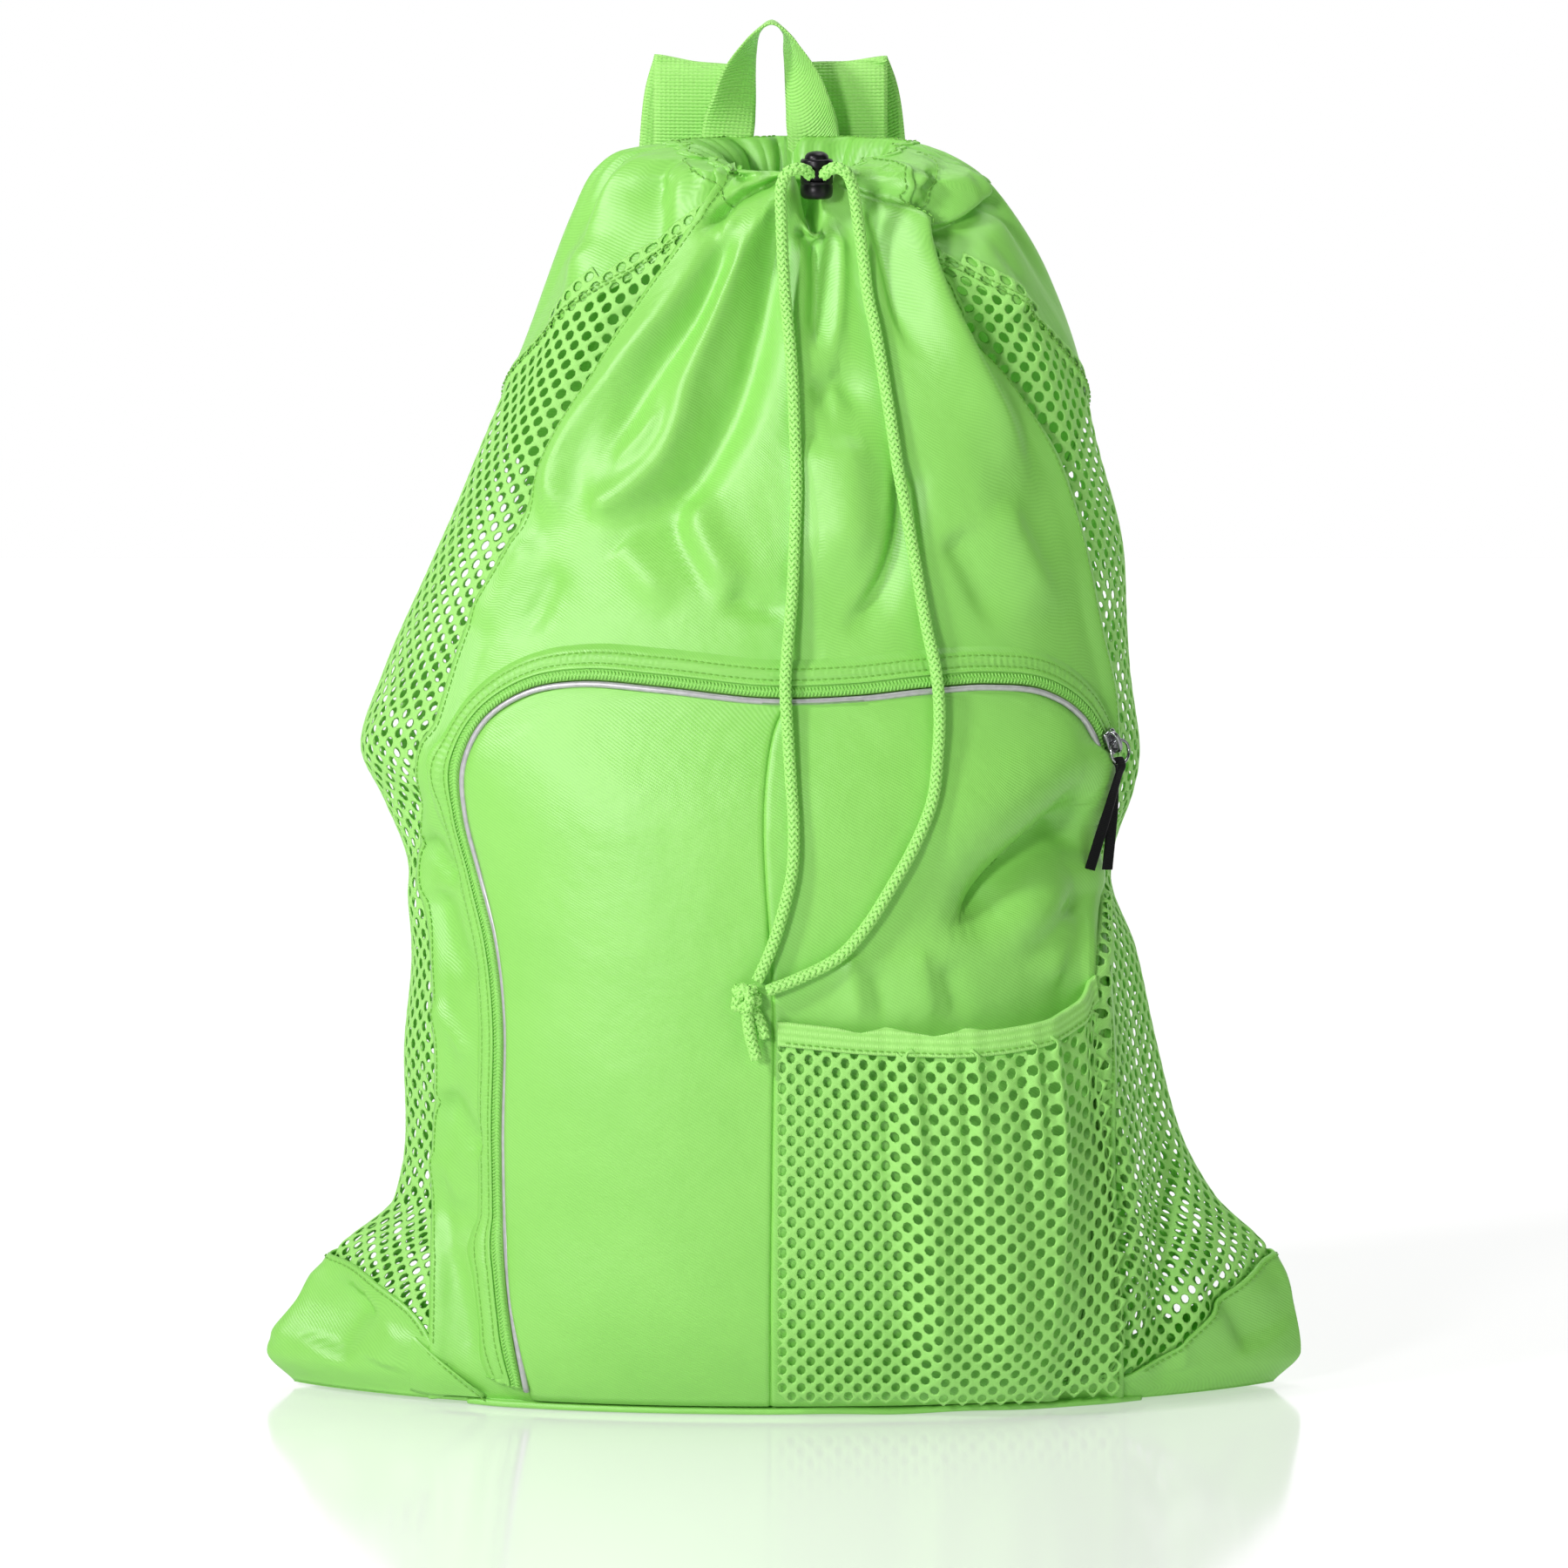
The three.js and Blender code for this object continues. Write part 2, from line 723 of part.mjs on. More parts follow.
function lathe(points, sides) {
  const geometry = new THREE.LatheGeometry(points.map(([r, z]) => new THREE.Vector2(r, z)), sides);
  geometry.rotateX(Math.PI / 2);
  return geometry;
}

// The cord lock: a cup with a cross slot, and a sprung button in it with its own slot
function lockBarrel() {
  const cup = lathe(
    [
      [0, -11.6],
      [5.6, -11.6],
      [7.2, -10.6],
      [lockRadius, -8.8],
      [lockRadius, 6.4],
      [7.2, 7.4],
      [6.3, 7.4],
      [6.3, -8.6],
      [0, -8.6],
    ],
    16,
  );
  const slot = new THREE.BoxGeometry(9.4, 30, 6.6);
  return geometryOf(solidOf(cup).subtract(solidOf(slot))).translate(...lockAt);
}

function lockButton() {
  const plug = lathe(
    [
      [0, -4.2],
      [5.7, -4.2],
      [5.9, -3.6],
      [5.9, 8.6],
      [5, 10.2],
      [2.8, 11],
      [0, 11.2],
    ],
    16,
  );
  const slot = new THREE.BoxGeometry(8.8, 30, 5.4).translate(0, 0, 1.4);
  return geometryOf(solidOf(plug).subtract(solidOf(slot))).translate(...lockAt);
}

function knot() {
  const core = new THREE.SphereGeometry(6.2, 10, 6);
  core.scale(1.15, 0.9, 1.2);
  const wrap = new THREE.TorusGeometry(5, 2.9, 6, 12);
  wrap.rotateX(Math.PI / 2);
  wrap.rotateY(0.5);
  wrap.scale(1, 0.72, 1);
  core.translate(...knotAt);
  wrap.translate(...knotAt);
  return joined(core, wrap, ...tails.map((points) => tube(points, cordRadius, 8, 4)));
}

// The zipper's slider stands on the coil at the pocket's upper right corner
const sliderT = 17.75 / edgeCount;
const sliderOffset = pipingRadius + layerGap + zipperWidth / 2;

function sliderFrame() {
  const here = edgePlace(sliderT, sliderOffset);
  const ahead = edgePlace(sliderT + 0.006, sliderOffset);
  const up = shellNormal(...here);
  const along = shell(...ahead).sub(shell(...here)).normalize();
  along.addScaledVector(up, -along.dot(up)).normalize();
  const across = along.clone().cross(up).normalize();
  return { at: skin(...here, 3.2), across, along, up };
}

function standOn({ at, across, along, up }, geometry) {
  return geometry.applyMatrix4(new THREE.Matrix4().makeBasis(across, along, up).setPosition(at));
}

function slider() {
  const block = (w, l, h, x, y, z) => new THREE.BoxGeometry(w, l, h).translate(x, y, z + h / 2);
  const pieces = [
    block(8.4, 12, 3, 0, 0, 0),
    block(3.2, 2, 3.6, 0, -4, 2.5),
    block(3.2, 2, 3.6, 0, 4, 2.5),
    block(3.2, 10, 1.4, 0, 0, 5.6),
  ];
  return joined(...pieces.map((piece) => standOn(sliderFrame(), piece)));
}

function bail() {
  const ring = new THREE.TorusGeometry(4.2, 0.65, 5, 12);
  ring.scale(1.6, 1.3, 1);
  ring.translate(0, 5.5, 0);
  ring.rotateX(0.15);
  ring.translate(0, 0, 4.3);
  return standOn(sliderFrame(), ring);
}

// The black ribbon: up from one cut end, over the bail and down to the other
const ribbonRun = [
  { at: [146, -56.4, 260], across: [0.9, 0.43, 0] },
  { at: [150.5, -55.8, 275], across: [0.9, 0.43, 0] },
  { at: [155.4, -55.8, 291], across: [0.8, 0.6, 0] },
  { at: [159.4, -55.4, 305], across: [0.67, 0.74, 0] },
  { at: [161.1, -54.8, 310], across: [0.67, 0.74, 0] },
  { at: [159.6, -53.3, 313.4], across: [0.67, 0.74, 0] },
  { at: [158.1, -51.9, 310], across: [0.67, 0.74, 0] },
  { at: [158, -50.8, 304], across: [0.67, 0.74, 0] },
  { at: [157.4, -50, 290], across: [0.8, 0.6, 0] },
  { at: [156, -49.6, 275], across: [0.9, 0.43, 0] },
  { at: [154.5, -49.2, 259], across: [0.9, 0.43, 0] },
];

const lime = 0x93da63;
const group = new THREE.Group();
group.name = "mesh_equipment_bag";

function add(name, geometry, color, roughness, metalness = 0) {
  const mesh = new THREE.Mesh(geometry, new THREE.MeshStandardMaterial({ color, roughness, metalness }));
  mesh.name = name;
  group.add(mesh);
}

add("bottom_panel", baseLens(), lime, 0.7);
const underPocket = (c, r) => -coverDepth * ease((9.8 - r * hemRow) * 1.5);
const frontPoint = (c, r, lift) => panelPoint("front", r * hemRow, c, lift);
const backPoint = (c, r, lift) => panelPoint("back", r * hemRow, c, lift);
add("front_panel", wall(17, hemRow, frontPoint, underPocket, cloth), lime, 0.6);
add("back_panel", wall(13, hemRow, backPoint, 0, cloth), lime, 0.6);
for (const [name, side] of [["left", -1], ["right", 1]]) {
  add(`corner_${name}`, wall(12, 4, sidePatch(side, 0, cornerRow), 0, cloth), lime, 0.6);
  add(`side_mesh_${name}`, sideNet(side), lime, 0.8);
  add(`yoke_${name}`, wall(14, 3, sidePatch(side, yokeRow, hemRow), 0, cloth), lime, 0.6);
  add(`shoulder_strap_${name}`, strap(side), lime, 0.7);
}
add("hem_channel", hemRing(), lime, 0.6);
add("pocket_panel_left", pocketWall(0, centreSeam - 0.0015, 9), lime, 0.6);
add("pocket_panel_right", pocketWall(centreSeam + 0.0015, 1, 10), lime, 0.6);
add("zipper", zipperBand(), lime, 0.6);
add("piping", pipingTube(), 0xb9bdb9, 0.4);
add("mesh_pocket", netting(8, 6, netBody, netWall), lime, 0.8);
add("pocket_binding", wall(16, 1, netBand, 0.5, 2), lime, 0.8);
add("grab_loop", grabLoop(), lime, 0.7);
add("lock_barrel", lockBarrel(), 0x0a0a0b, 0.25);
add("lock_button", lockButton(), 0x0a0a0b, 0.25);
add("drawcord_left", tube(leftLeg, cordRadius, 8, 25), lime, 0.7);
add("drawcord_right", tube(rightLeg, cordRadius, 8, 28), lime, 0.7);
add("cord_knot", knot(), lime, 0.7);
add("zipper_slider", slider(), 0x55585c, 0.25, 1);
add("slider_bail", bail(), 0x55585c, 0.25, 1);
add("pull_ribbon", band(ribbonRun, 22, ribbonWidth, 0.9), 0x0c0c0d, 0.5);

export default group;
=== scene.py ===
import math

import bpy
import numpy as np
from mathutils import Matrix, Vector


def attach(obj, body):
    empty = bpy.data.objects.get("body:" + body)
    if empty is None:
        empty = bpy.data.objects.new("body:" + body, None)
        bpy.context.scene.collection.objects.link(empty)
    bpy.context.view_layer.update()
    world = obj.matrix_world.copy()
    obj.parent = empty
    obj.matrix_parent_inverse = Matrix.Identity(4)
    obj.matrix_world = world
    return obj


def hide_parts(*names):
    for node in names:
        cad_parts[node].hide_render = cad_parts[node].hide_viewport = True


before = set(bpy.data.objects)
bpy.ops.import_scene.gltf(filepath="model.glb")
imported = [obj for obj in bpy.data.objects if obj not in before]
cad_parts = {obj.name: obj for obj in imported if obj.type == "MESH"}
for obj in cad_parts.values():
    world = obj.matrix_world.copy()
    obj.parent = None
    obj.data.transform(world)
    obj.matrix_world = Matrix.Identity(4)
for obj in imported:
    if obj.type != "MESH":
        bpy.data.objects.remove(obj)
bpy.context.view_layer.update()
print("frame loaded")

# Camera: a long lens a little above the bag's middle
cameraLook = {"lens": 238.0, "sensor": 36, "distance": 5.0, "elevation": 7.0, "target": (0, 0, 0.2942)}


def makeCamera():
    data = bpy.data.cameras.new("camera")
    data.lens = cameraLook["lens"]
    data.sensor_width = cameraLook["sensor"]
    data.clip_end = 50
    eye = bpy.data.objects.new("camera", data)
    turn = math.radians(cameraLook["elevation"])
    away = Vector((0, -math.cos(turn), math.sin(turn)))
    eye.location = Vector(cameraLook["target"]) + away * cameraLook["distance"]
    eye.rotation_euler = (-away).to_track_quat("-Z", "Y").to_euler()
    bpy.context.scene.collection.objects.link(eye)
    bpy.context.scene.camera = eye


makeCamera()


# Number helpers. Lengths are millimetres until a piece is made.
metre = 0.001


def mix(a, b, t):
    return a + (b - a) * t


def ease(v):
    v = np.clip(v, 0, 1)
    return v * v * (3 - 2 * v)


# Rises from 0 where v is at start to 1 where it is at end, which may be the lower of the two
def ramp(v, start, end):
    return ease((v - start) / (end - start))


def bell(v):
    return np.exp(-v * v)


fullTurn = 2 * math.pi


def around(sides):
    return np.arange(sides) * fullTurn / sides


def circle(turn):
    return np.stack([np.cos(turn), np.sin(turn)], axis=1)


def unit(v):
    return v / np.maximum(np.linalg.norm(v, axis=-1, keepdims=True), 1e-9)


# An angle brought between -180 and 180 degrees
def wrapped(angle):
    return (angle + 540) % 360 - 180


# The distance run along a line of points, and values read at marks along it
def runOf(points):
    return np.pad(np.cumsum(np.linalg.norm(np.diff(points, axis=0), axis=1)), (1, 0))


def readAt(marks, run, values):
    return np.stack([np.interp(marks, run, column) for column in values.T], axis=1)


# A grid of values read between its points
def readGrid(grid, row, column):
    row = np.clip(row, 0, grid.shape[0] - 1.001)
    column = np.clip(column, 0, grid.shape[1] - 1.001)
    a, b = row.astype(int), column.astype(int)
    low = mix(grid[a, b], grid[a, b + 1], column - b)
    return mix(low, mix(grid[a + 1, b], grid[a + 1, b + 1], column - b), row - a)


# A table read by a shape-keeping cubic through its rows
class Table:
    def __init__(self, columns, rows):
        data = np.array(rows, float)
        self.keys = data[:, 0]
        self.columns = {}
        for name, values in zip(columns.split()[1:], data[:, 1:].T):
            steep = np.diff(values) / np.diff(self.keys)
            both = steep[:-1] * steep[1:]
            total = np.where(both > 0, steep[:-1] + steep[1:], 1)
            inner = np.where(both > 0, 2 * both / total, 0)
            self.columns[name] = (values, np.concatenate([steep[:1], inner, steep[-1:]]))

    def at(self, name, key):
        key = np.asarray(key, float)
        i = np.clip(np.searchsorted(self.keys, key) - 1, 0, len(self.keys) - 2)
        span = self.keys[i + 1] - self.keys[i]
        t = (key - self.keys[i]) / span
        values, slopes = self.columns[name]
        bend = (2 * t**3 - 3 * t**2) * (values[i] - values[i + 1])
        lean = (t**3 - 2 * t**2 + t) * slopes[i] + (t**3 - t**2) * slopes[i + 1]
        return values[i] + bend + lean * span


# A smooth curve through points, evenly shared among them by t
class Curve:
    def __init__(self, points):
        p = np.array(points, float)
        self.count = len(p) - 1
        p = np.vstack([2 * p[0] - p[1], p, 2 * p[-1] - p[-2]])
        gap = np.maximum(np.linalg.norm(np.diff(p, axis=0), axis=1, keepdims=True) ** 0.5, 0.001)
        before, here, after = gap[:-2], gap[1:-1], gap[2:]
        p0, p1, p2, p3 = p[:-3], p[1:-2], p[2:-1], p[3:]
        leave = ((p1 - p0) / before - (p2 - p0) / (before + here) + (p2 - p1) / here) * here
        arrive = ((p2 - p1) / here - (p3 - p1) / (here + after) + (p3 - p2) / after) * here
        self.parts = (p1, leave, 3 * (p2 - p1) - 2 * leave - arrive, 2 * (p1 - p2) + leave + arrive)

    def at(self, t):
        t = np.clip(np.asarray(t, float), 0, 1) * self.count
        i = np.minimum(t.astype(int), self.count - 1)
        w = (t - i)[..., None]
        a, b, c, d = (part[i] for part in self.parts)
        return a + w * (b + w * (c + w * d))

    # Points a set distance apart along the curve
    def spaced(self, step):
        fine = self.at(np.linspace(0, 1, 60 * self.count))
        run = runOf(fine)
        count = max(int(round(run[-1] / step)), 2)
        return readAt(np.linspace(0, run[-1], count + 1), run, fine)


# The bag's form: the same tables as the part's
cloth, netWall, layerGap = 1.2, 1.4, 0.8
coverDepth, gatherCount = 1.6, 12
pipingRadius, zipperWidth, bindingTall = 1.5, 11, 12
cordRadius, strapWidth, loopWidth = 3, 38, 25
ribbonWidth, webbing = 5.6, 1.8

sections = Table("level z left right front back squareX squareY gather drop", [
    [0, 2.4, 238, 238, 80, 76, 2.2, 1.15, 0, 0],
    [16, 17, 251, 251, 87, 82, 2.2, 1.15, 0, 0],
    [45, 45, 231, 245, 94, 86, 2.2, 1.25, 0, 0],
    [70, 70, 212, 231, 98, 88, 2.2, 1.4, 0, 0],
    [95, 95, 186, 208, 101, 90, 2.3, 1.6, 0, 0],
    [125, 125, 181, 192, 103, 91, 2.5, 1.85, 0, 0],
    [170, 170, 184, 180, 105, 92, 2.6, 2, 0, 0],
    [215, 215, 181, 170, 105, 92, 2.6, 2, 0, 0],
    [250, 250, 181, 158, 104, 92, 2.6, 2, 0, 0],
    [290, 290, 191, 166, 101, 91, 2.6, 2, 0, 0],
    [318, 318, 202, 170, 98, 90, 2.5, 2, 0, 0],
    [350, 350, 193, 167, 94, 88, 2.4, 2, 0, 0],
    [400, 400, 172, 161, 86, 83, 2.3, 2, 0.3, 0],
    [450, 450, 149, 150, 77, 77, 2.2, 2, 0.8, 0],
    [500, 500, 127, 140, 66, 70, 2.1, 2, 1.6, 0],
    [540, 540, 111, 124, 55, 62, 2, 2, 2.4, 0],
    [570, 570, 98, 106, 46, 56, 2, 2, 3, 0],
    [590, 590, 87, 88, 39, 51, 2, 2, 3.2, 3],
    [606, 600, 73, 70, 33, 47, 2, 2, 3, 8],
    [624, 603, 52, 60, 29, 42, 2, 2, 2.6, 14],
    [640, 596, 36, 54, 27, 38, 2, 2, 2.2, 16],
    [660, 584, 26, 48, 25, 33, 2, 2, 2, 16],
])

# Folds and dents about a middle angle and level: angle, level, wide, tall, lean, lift
folds = [
    (15, 606, 12, 42, 0, -11),
    (56, 262, 9, 26, 0.12, -7),
    (-32, 470, 8, 60, 0.09, 3),
    (34, 455, 9, 60, -0.06, 4),
    (-97, 200, 9, 70, 0, -6),
    (-78, 110, 7, 60, 0.03, 5),
    (128, 250, 14, 90, 0.05, -5),
    (-135, 300, 16, 90, -0.05, -5),
]

# Smaller folds that the cloth alone shows, in the same terms
softFolds = [
    (-100, 560, 7, 40, 0.05, 3),
    (-84, 545, 6, 45, 0.06, -3),
    (-62, 585, 6, 26, 0.1, 3),
    (72, 575, 6, 34, -0.1, 4),
    (84, 560, 6, 40, -0.08, -4),
    (100, 545, 8, 50, -0.04, 4),
    (62, 548, 5, 26, -0.1, -3),
    (-70, 320, 8, 20, 0.2, 4),
    (-66, 288, 7, 14, 0.2, -5),
    (-74, 245, 7, 18, 0.1, 4),
    (-80, 300, 9, 30, 0, 4),
    (84, 300, 8, 24, 0, 3),
    (78, 262, 7, 16, 0.1, -5),
    (100, 340, 8, 40, 0.05, -4),
    (-96, 400, 9, 40, 0.04, -4),
    (92, 420, 9, 40, -0.04, 4),
    (-84, 60, 5, 22, 0.1, 3),
    (84, 66, 5, 24, -0.1, 4),
    (170, 430, 9, 90, 0.03, 3),
    (196, 450, 9, 90, -0.03, -3),
    (182, 520, 7, 50, 0.05, -3),
]

# The drape of the front: a line in X and level, its half width and lift, and the share of its length
# over which it dies away. Each is steeper on the side away from the light.
drape = [
    ([(-18, 600), (-22, 574), (-34, 553), (-52, 525), (-71, 502), (-94, 473), (-104, 451), (-104, 439),
      (-97, 430)], 8, 8, 0.08),
    ([(-25, 574), (-31, 553), (-43, 527), (-60, 502), (-75, 477), (-89, 451)], 6, -6, 0.25),
    ([(-4, 598), (-8, 574), (-17, 559), (-23, 544), (-31, 523), (-42, 494), (-48, 472), (-56, 457),
      (-73, 441), (-92, 430)], 7, 8, 0.08),
    ([(-55, 482), (-64, 468), (-80, 452)], 4, 3, 0.4),
    ([(2, 582), (-4, 555), (-11, 523), (-19, 498), (-28, 477), (-45, 451), (-66, 428), (-92, 417)],
     11, -9, 0.3),
    ([(-76, 422), (-64, 406), (-50, 388)], 8, 3.5, 0.4),
    ([(-60, 430), (-46, 410), (-32, 390)], 6, -3, 0.4),
    ([(-44, 442), (-33, 416), (-18, 392)], 9, 4.5, 0.4),
    ([(-28, 394), (-10, 388), (6, 383)], 6, -3, 0.4),
    ([(16, 562), (17, 540), (14, 508)], 7, -7, 0.3),
    ([(29, 568), (27, 535), (22, 503)], 6, 4, 0.3),
    ([(11, 486), (25, 493), (42, 478)], 7, -3.5, 0.4),
    ([(26, 472), (30, 435), (28, 398)], 18, 6, 0.4),
    ([(58, 458), (55, 425), (45, 395), (25, 374)], 6, -5, 0.35),
    ([(43, 584), (49, 556), (56, 526), (66, 500)], 6, -7, 0.35),
    ([(55, 602), (59, 578), (60, 558), (68, 534), (85, 502), (99, 477), (110, 451), (118, 424)],
     10, 8, 0.35),
    ([(68, 574), (82, 540), (100, 512), (119, 484), (133, 452)], 7, -5, 0.3),
    ([(78, 424), (92, 400), (106, 376)], 9, -3.5, 0.4),
    ([(100, 438), (118, 404), (134, 378)], 9, 3, 0.4),
    ([(-116, 420), (-130, 396), (-146, 372)], 7, 3.5, 0.3),
    ([(-108, 408), (-118, 388), (-132, 368)], 6, -3, 0.4),
    ([(31, 589), (46, 582), (58, 576), (66, 572), (71, 563)], 3.4, -9, 0.15),
    ([(64, 572), (72, 564), (84, 563), (95, 573), (103, 588)], 5, -10, 0.12),
    ([(74, 596), (84, 588), (94, 585), (104, 590)], 7, 6, 0.3),
    ([(78, 549), (92, 545), (104, 534), (112, 516)], 9, 6, 0.3),
    ([(88, 524), (100, 512), (116, 500)], 7, -4, 0.4),
    ([(44, 600), (56, 595), (64, 585)], 8, 5, 0.3),
    ([(38, 608), (54, 599), (67, 588)], 6, 5, 0.3),
    ([(-38, 564), (-28, 574), (-17, 583), (-8, 588), (1, 597)], 3.2, -9, 0.15),
    ([(-96, 560), (-84, 530), (-96, 498)], 14, 4, 0.4),
    ([(-70, 590), (-62, 566), (-66, 540)], 10, -4, 0.4),
    ([(-42, 604), (-25, 600), (-7, 604)], 6, 4, 0.3),
    ([(-32, 610), (-26, 598), (-19, 589)], 2.8, -5, 0.15),
    ([(15, 577), (15.5, 571), (16, 566)], 4.6, 6, 0.3),
    ([(6, 567), (15, 559), (25, 565)], 3.2, -4, 0.3),
    ([(152, 296), (128, 282), (102, 262), (87, 240), (82, 226)], 14, -14, 0.3),
    ([(150, 322), (118, 306), (84, 284), (60, 262)], 18, 3, 0.4),
    ([(148, 266), (128, 252), (108, 238), (96, 222)], 12, 6, 0.4),
    ([(134, 240), (128, 224), (120, 206)], 6, 3, 0.3),
    ([(30, 226), (33, 210), (37, 190)], 6, 1.8, 0.4),
    ([(42, 222), (45, 208), (48, 190)], 5, -1.6, 0.4),
    ([(62, 228), (65, 210), (69, 190)], 6, 1.8, 0.4),
    ([(74, 222), (78, 206), (82, 190)], 5, -1.6, 0.4),
    ([(-168, 330), (-166, 296), (-170, 266)], 6, 3, 0.3),
    ([(-173, 275), (-165, 263), (-156, 252)], 3.6, -3.4, 0.3),
    ([(-168, 250), (-162, 226), (-151, 203)], 6, -4, 0.3),
    ([(-166, 196), (-158, 182), (-148, 168)], 4, 2.6, 0.3),
    ([(-165, 152), (-157, 137), (-145, 121)], 5, -4, 0.3),
    ([(-165, 122), (-158, 108), (-149, 95)], 5, 2.6, 0.3),
    ([(-164, 78), (-157, 52), (-152, 18)], 5, -3, 0.3),
    ([(-247, 19), (-234, 40), (-217, 62)], 5, 2.5, 0.2),
    ([(-228, 20), (-216, 38), (-204, 54)], 12, -8, 0.25),
    ([(-190, 14), (-186, 26), (-180, 36)], 9, 3, 0.3),
    ([(232, 20), (220, 42), (204, 60)], 10, -5, 0.25),
    ([(190, 12), (186, 30), (180, 42)], 8, 3, 0.3),
]

# Narrow folds are sharper than wide ones. Pairs are for a wide and a narrow fold.
drapeLook = {
    "depth": 1.25,
    "halfWide": 260,
    "tall": 640,
    "wide": 12,
    "narrow": 8,
    "steepReach": (0.85, 0.7),
    "gentleReach": (1.05, 1.3),
    "ridgeCrest": (1.0, 0.88),
    "dentCrest": (1.0, 0.95),
    "start": 1 / 6,
}


# Every fold line laid on one map of heights, a millimetre to a step
def drapeHeights():
    look = drapeLook
    x, level = np.meshgrid(np.arange(-look["halfWide"], look["halfWide"] + 1.0), np.arange(0.0, look["tall"]))
    total = np.zeros(x.shape)
    for points, wide, lift, tail in drape:
        line = Curve(points).spaced(2)
        low, high = line.min(0) - 3 * wide, line.max(0) + 3 * wide
        rows = (level[:, 0] > low[1]) & (level[:, 0] < high[1])
        part = np.ix_(rows, (x[0] > low[0]) & (x[0] < high[0]))
        far = (x[part][..., None] - line[:, 0]) ** 2 + (level[part][..., None] - line[:, 1]) ** 2
        near = far.argmin(-1)
        share = near / (len(line) - 1)
        steep = (x[part] > line[near, 0]) == (lift > 0)
        sharp = ease((look["wide"] - wide) / (look["wide"] - look["narrow"]))
        crest = mix(*look["ridgeCrest" if lift > 0 else "dentCrest"], sharp)
        reach = wide * np.where(steep, mix(*look["steepReach"], sharp), mix(*look["gentleReach"], sharp))
        form = np.exp(-((far.min(-1) / reach**2) ** crest))
        total[part] += lift * ease(share / look["start"]) * ease((1 - share) / tail) * form
    return look["depth"] * total


drapeMap = drapeHeights()


# The gap in the front of the mouth under the cord lock
notchLook = {"x": 15.0, "half": 11.0, "deep": 24.0, "start": 556.0, "rise": 36.0, "front": 4}

# The upright pleat at the lower right: its ridge and the valley beside it, in X
pleat = Table("level ridgeX ridge valleyX valley", [
    [0, 168, 0, 182, 0],
    [30, 168, 4, 182, -5],
    [70, 169, 8, 183, -9],
    [104, 167, 11, 183, -12],
    [158, 158, 12, 175, -10],
    [200, 153, 10, 167, -6],
    [225, 150, 7, 163, -3],
    [262, 147, 0, 160, 0],
    [660, 147, 0, 160, 0],
])
pleatLook = {"wide": 8, "front": 5}

# Fine gathers below the hem: each wave's height, count, wander and the wander's count
gatherLook = {
    "waves": [(1.0, 27, 1.6, 4), (0.6, 41, 2, 3)],
    "back": 0.5,
    "front": 1.5,
    "start": 560,
    "rise": 46,
}

# Seam stations: running height at the front and back seams, rise at the side, and the seams' X
stations = Table("row front back rise leftX rightX backX", [
    [0, 0, 0, 0, 168, 160, 165],
    [1, 10, 10, 55, 168, 160, 165],
    [2, 60, 55, 36, 167, 158, 163],
    [3, 110, 100, 16, 167, 156, 160],
    [4, 165, 150, 0, 165, 156, 158],
    [5, 215, 195, 0, 167, 154, 150],
    [6, 262, 240, 0, 172, 154, 146],
    [7, 300, 275, 0, 173, 159, 146],
    [8, 335, 305, 0, 162, 158, 146],
    [9, 375, 335, 0, 149, 150, 144],
    [10, 420, 365, 0, 125, 140, 140],
    [11, 465, 390, 0, 103, 124, 133],
    [12, 515, 415, 0, 73, 96, 126],
    [13, 565, 440, 0, 40, 64, 118],
    [14, 590, 530, 0, 28, 50, 86],
    [15, 606, 598, 0, 26, 46, 52],
    [16, 624, 624, 0, 26, 42, 36],
])
cornerRow, yokeRow, hemRow, hemStart, hemEnd = 1, 13, 16, 624, 660

# The zip pocket's edge in X and level, from the lower left, over the top, to the lower right
edgeCurve = Curve([
    (-122, 4), (-130, 60), (-132, 130), (-131, 190), (-135, 228), (-143, 260), (-150, 288),
    (-151, 312), (-141, 333), (-121, 347), (-96, 352), (-59, 350), (-8, 345), (34, 346),
    (67, 349), (97, 350), (122, 346), (140, 333), (149, 312), (148, 288), (144, 260),
    (141, 228), (140, 190), (140, 130), (136, 60), (126, 4),
])
leftCornerEnd, rightCornerEnd, centreSeam = 10, 15, 0.465
edgeStart, edgeEnd, edgeStep = 0.004, 0.996, 0.004


def halfWidth(x, level):
    return np.where(x < 0, sections.at("left", level), sections.at("right", level))


# Angles on the shell from places in X before the folds, and back
def angleAt(x, level):
    share = np.minimum(np.abs(x) / halfWidth(x, level), 0.995)
    return np.sign(x) * np.degrees(np.arcsin(share ** (sections.at("squareX", level) / 2)))


def placeX(angle, level):
    s = np.sin(np.radians(angle))
    return halfWidth(s, level) * np.sign(s) * np.abs(s) ** (2 / sections.at("squareX", level))


def foldPush(table, angle, level):
    push = np.zeros(angle.shape)
    for middle, height, wide, tall, lean, lift in table:
        across = wrapped(angle - middle - lean * (level - height))
        push += lift * bell(across / wide) * bell((level - height) / tall)
    return push


# Gathers and drape, which the dressed cloth has beyond the part's own folds
def softPush(angle, level, x):
    look, turn, off = gatherLook, np.radians(angle), np.abs(angle)
    gather = 0
    for size, count, wander, beat in look["waves"]:
        gather = gather + size * np.cos(count * turn + wander * np.sin(beat * turn))
    height = mix(look["back"], look["front"], ramp(off, 100, 80))
    gather = gather * height * ease((level - look["start"]) / look["rise"])
    facing = ramp(off, 89, 85) * ramp(level, 0, 12) * ramp(level, 632, 612)
    return gather + facing * readGrid(drapeMap, level, x + drapeLook["halfWide"])


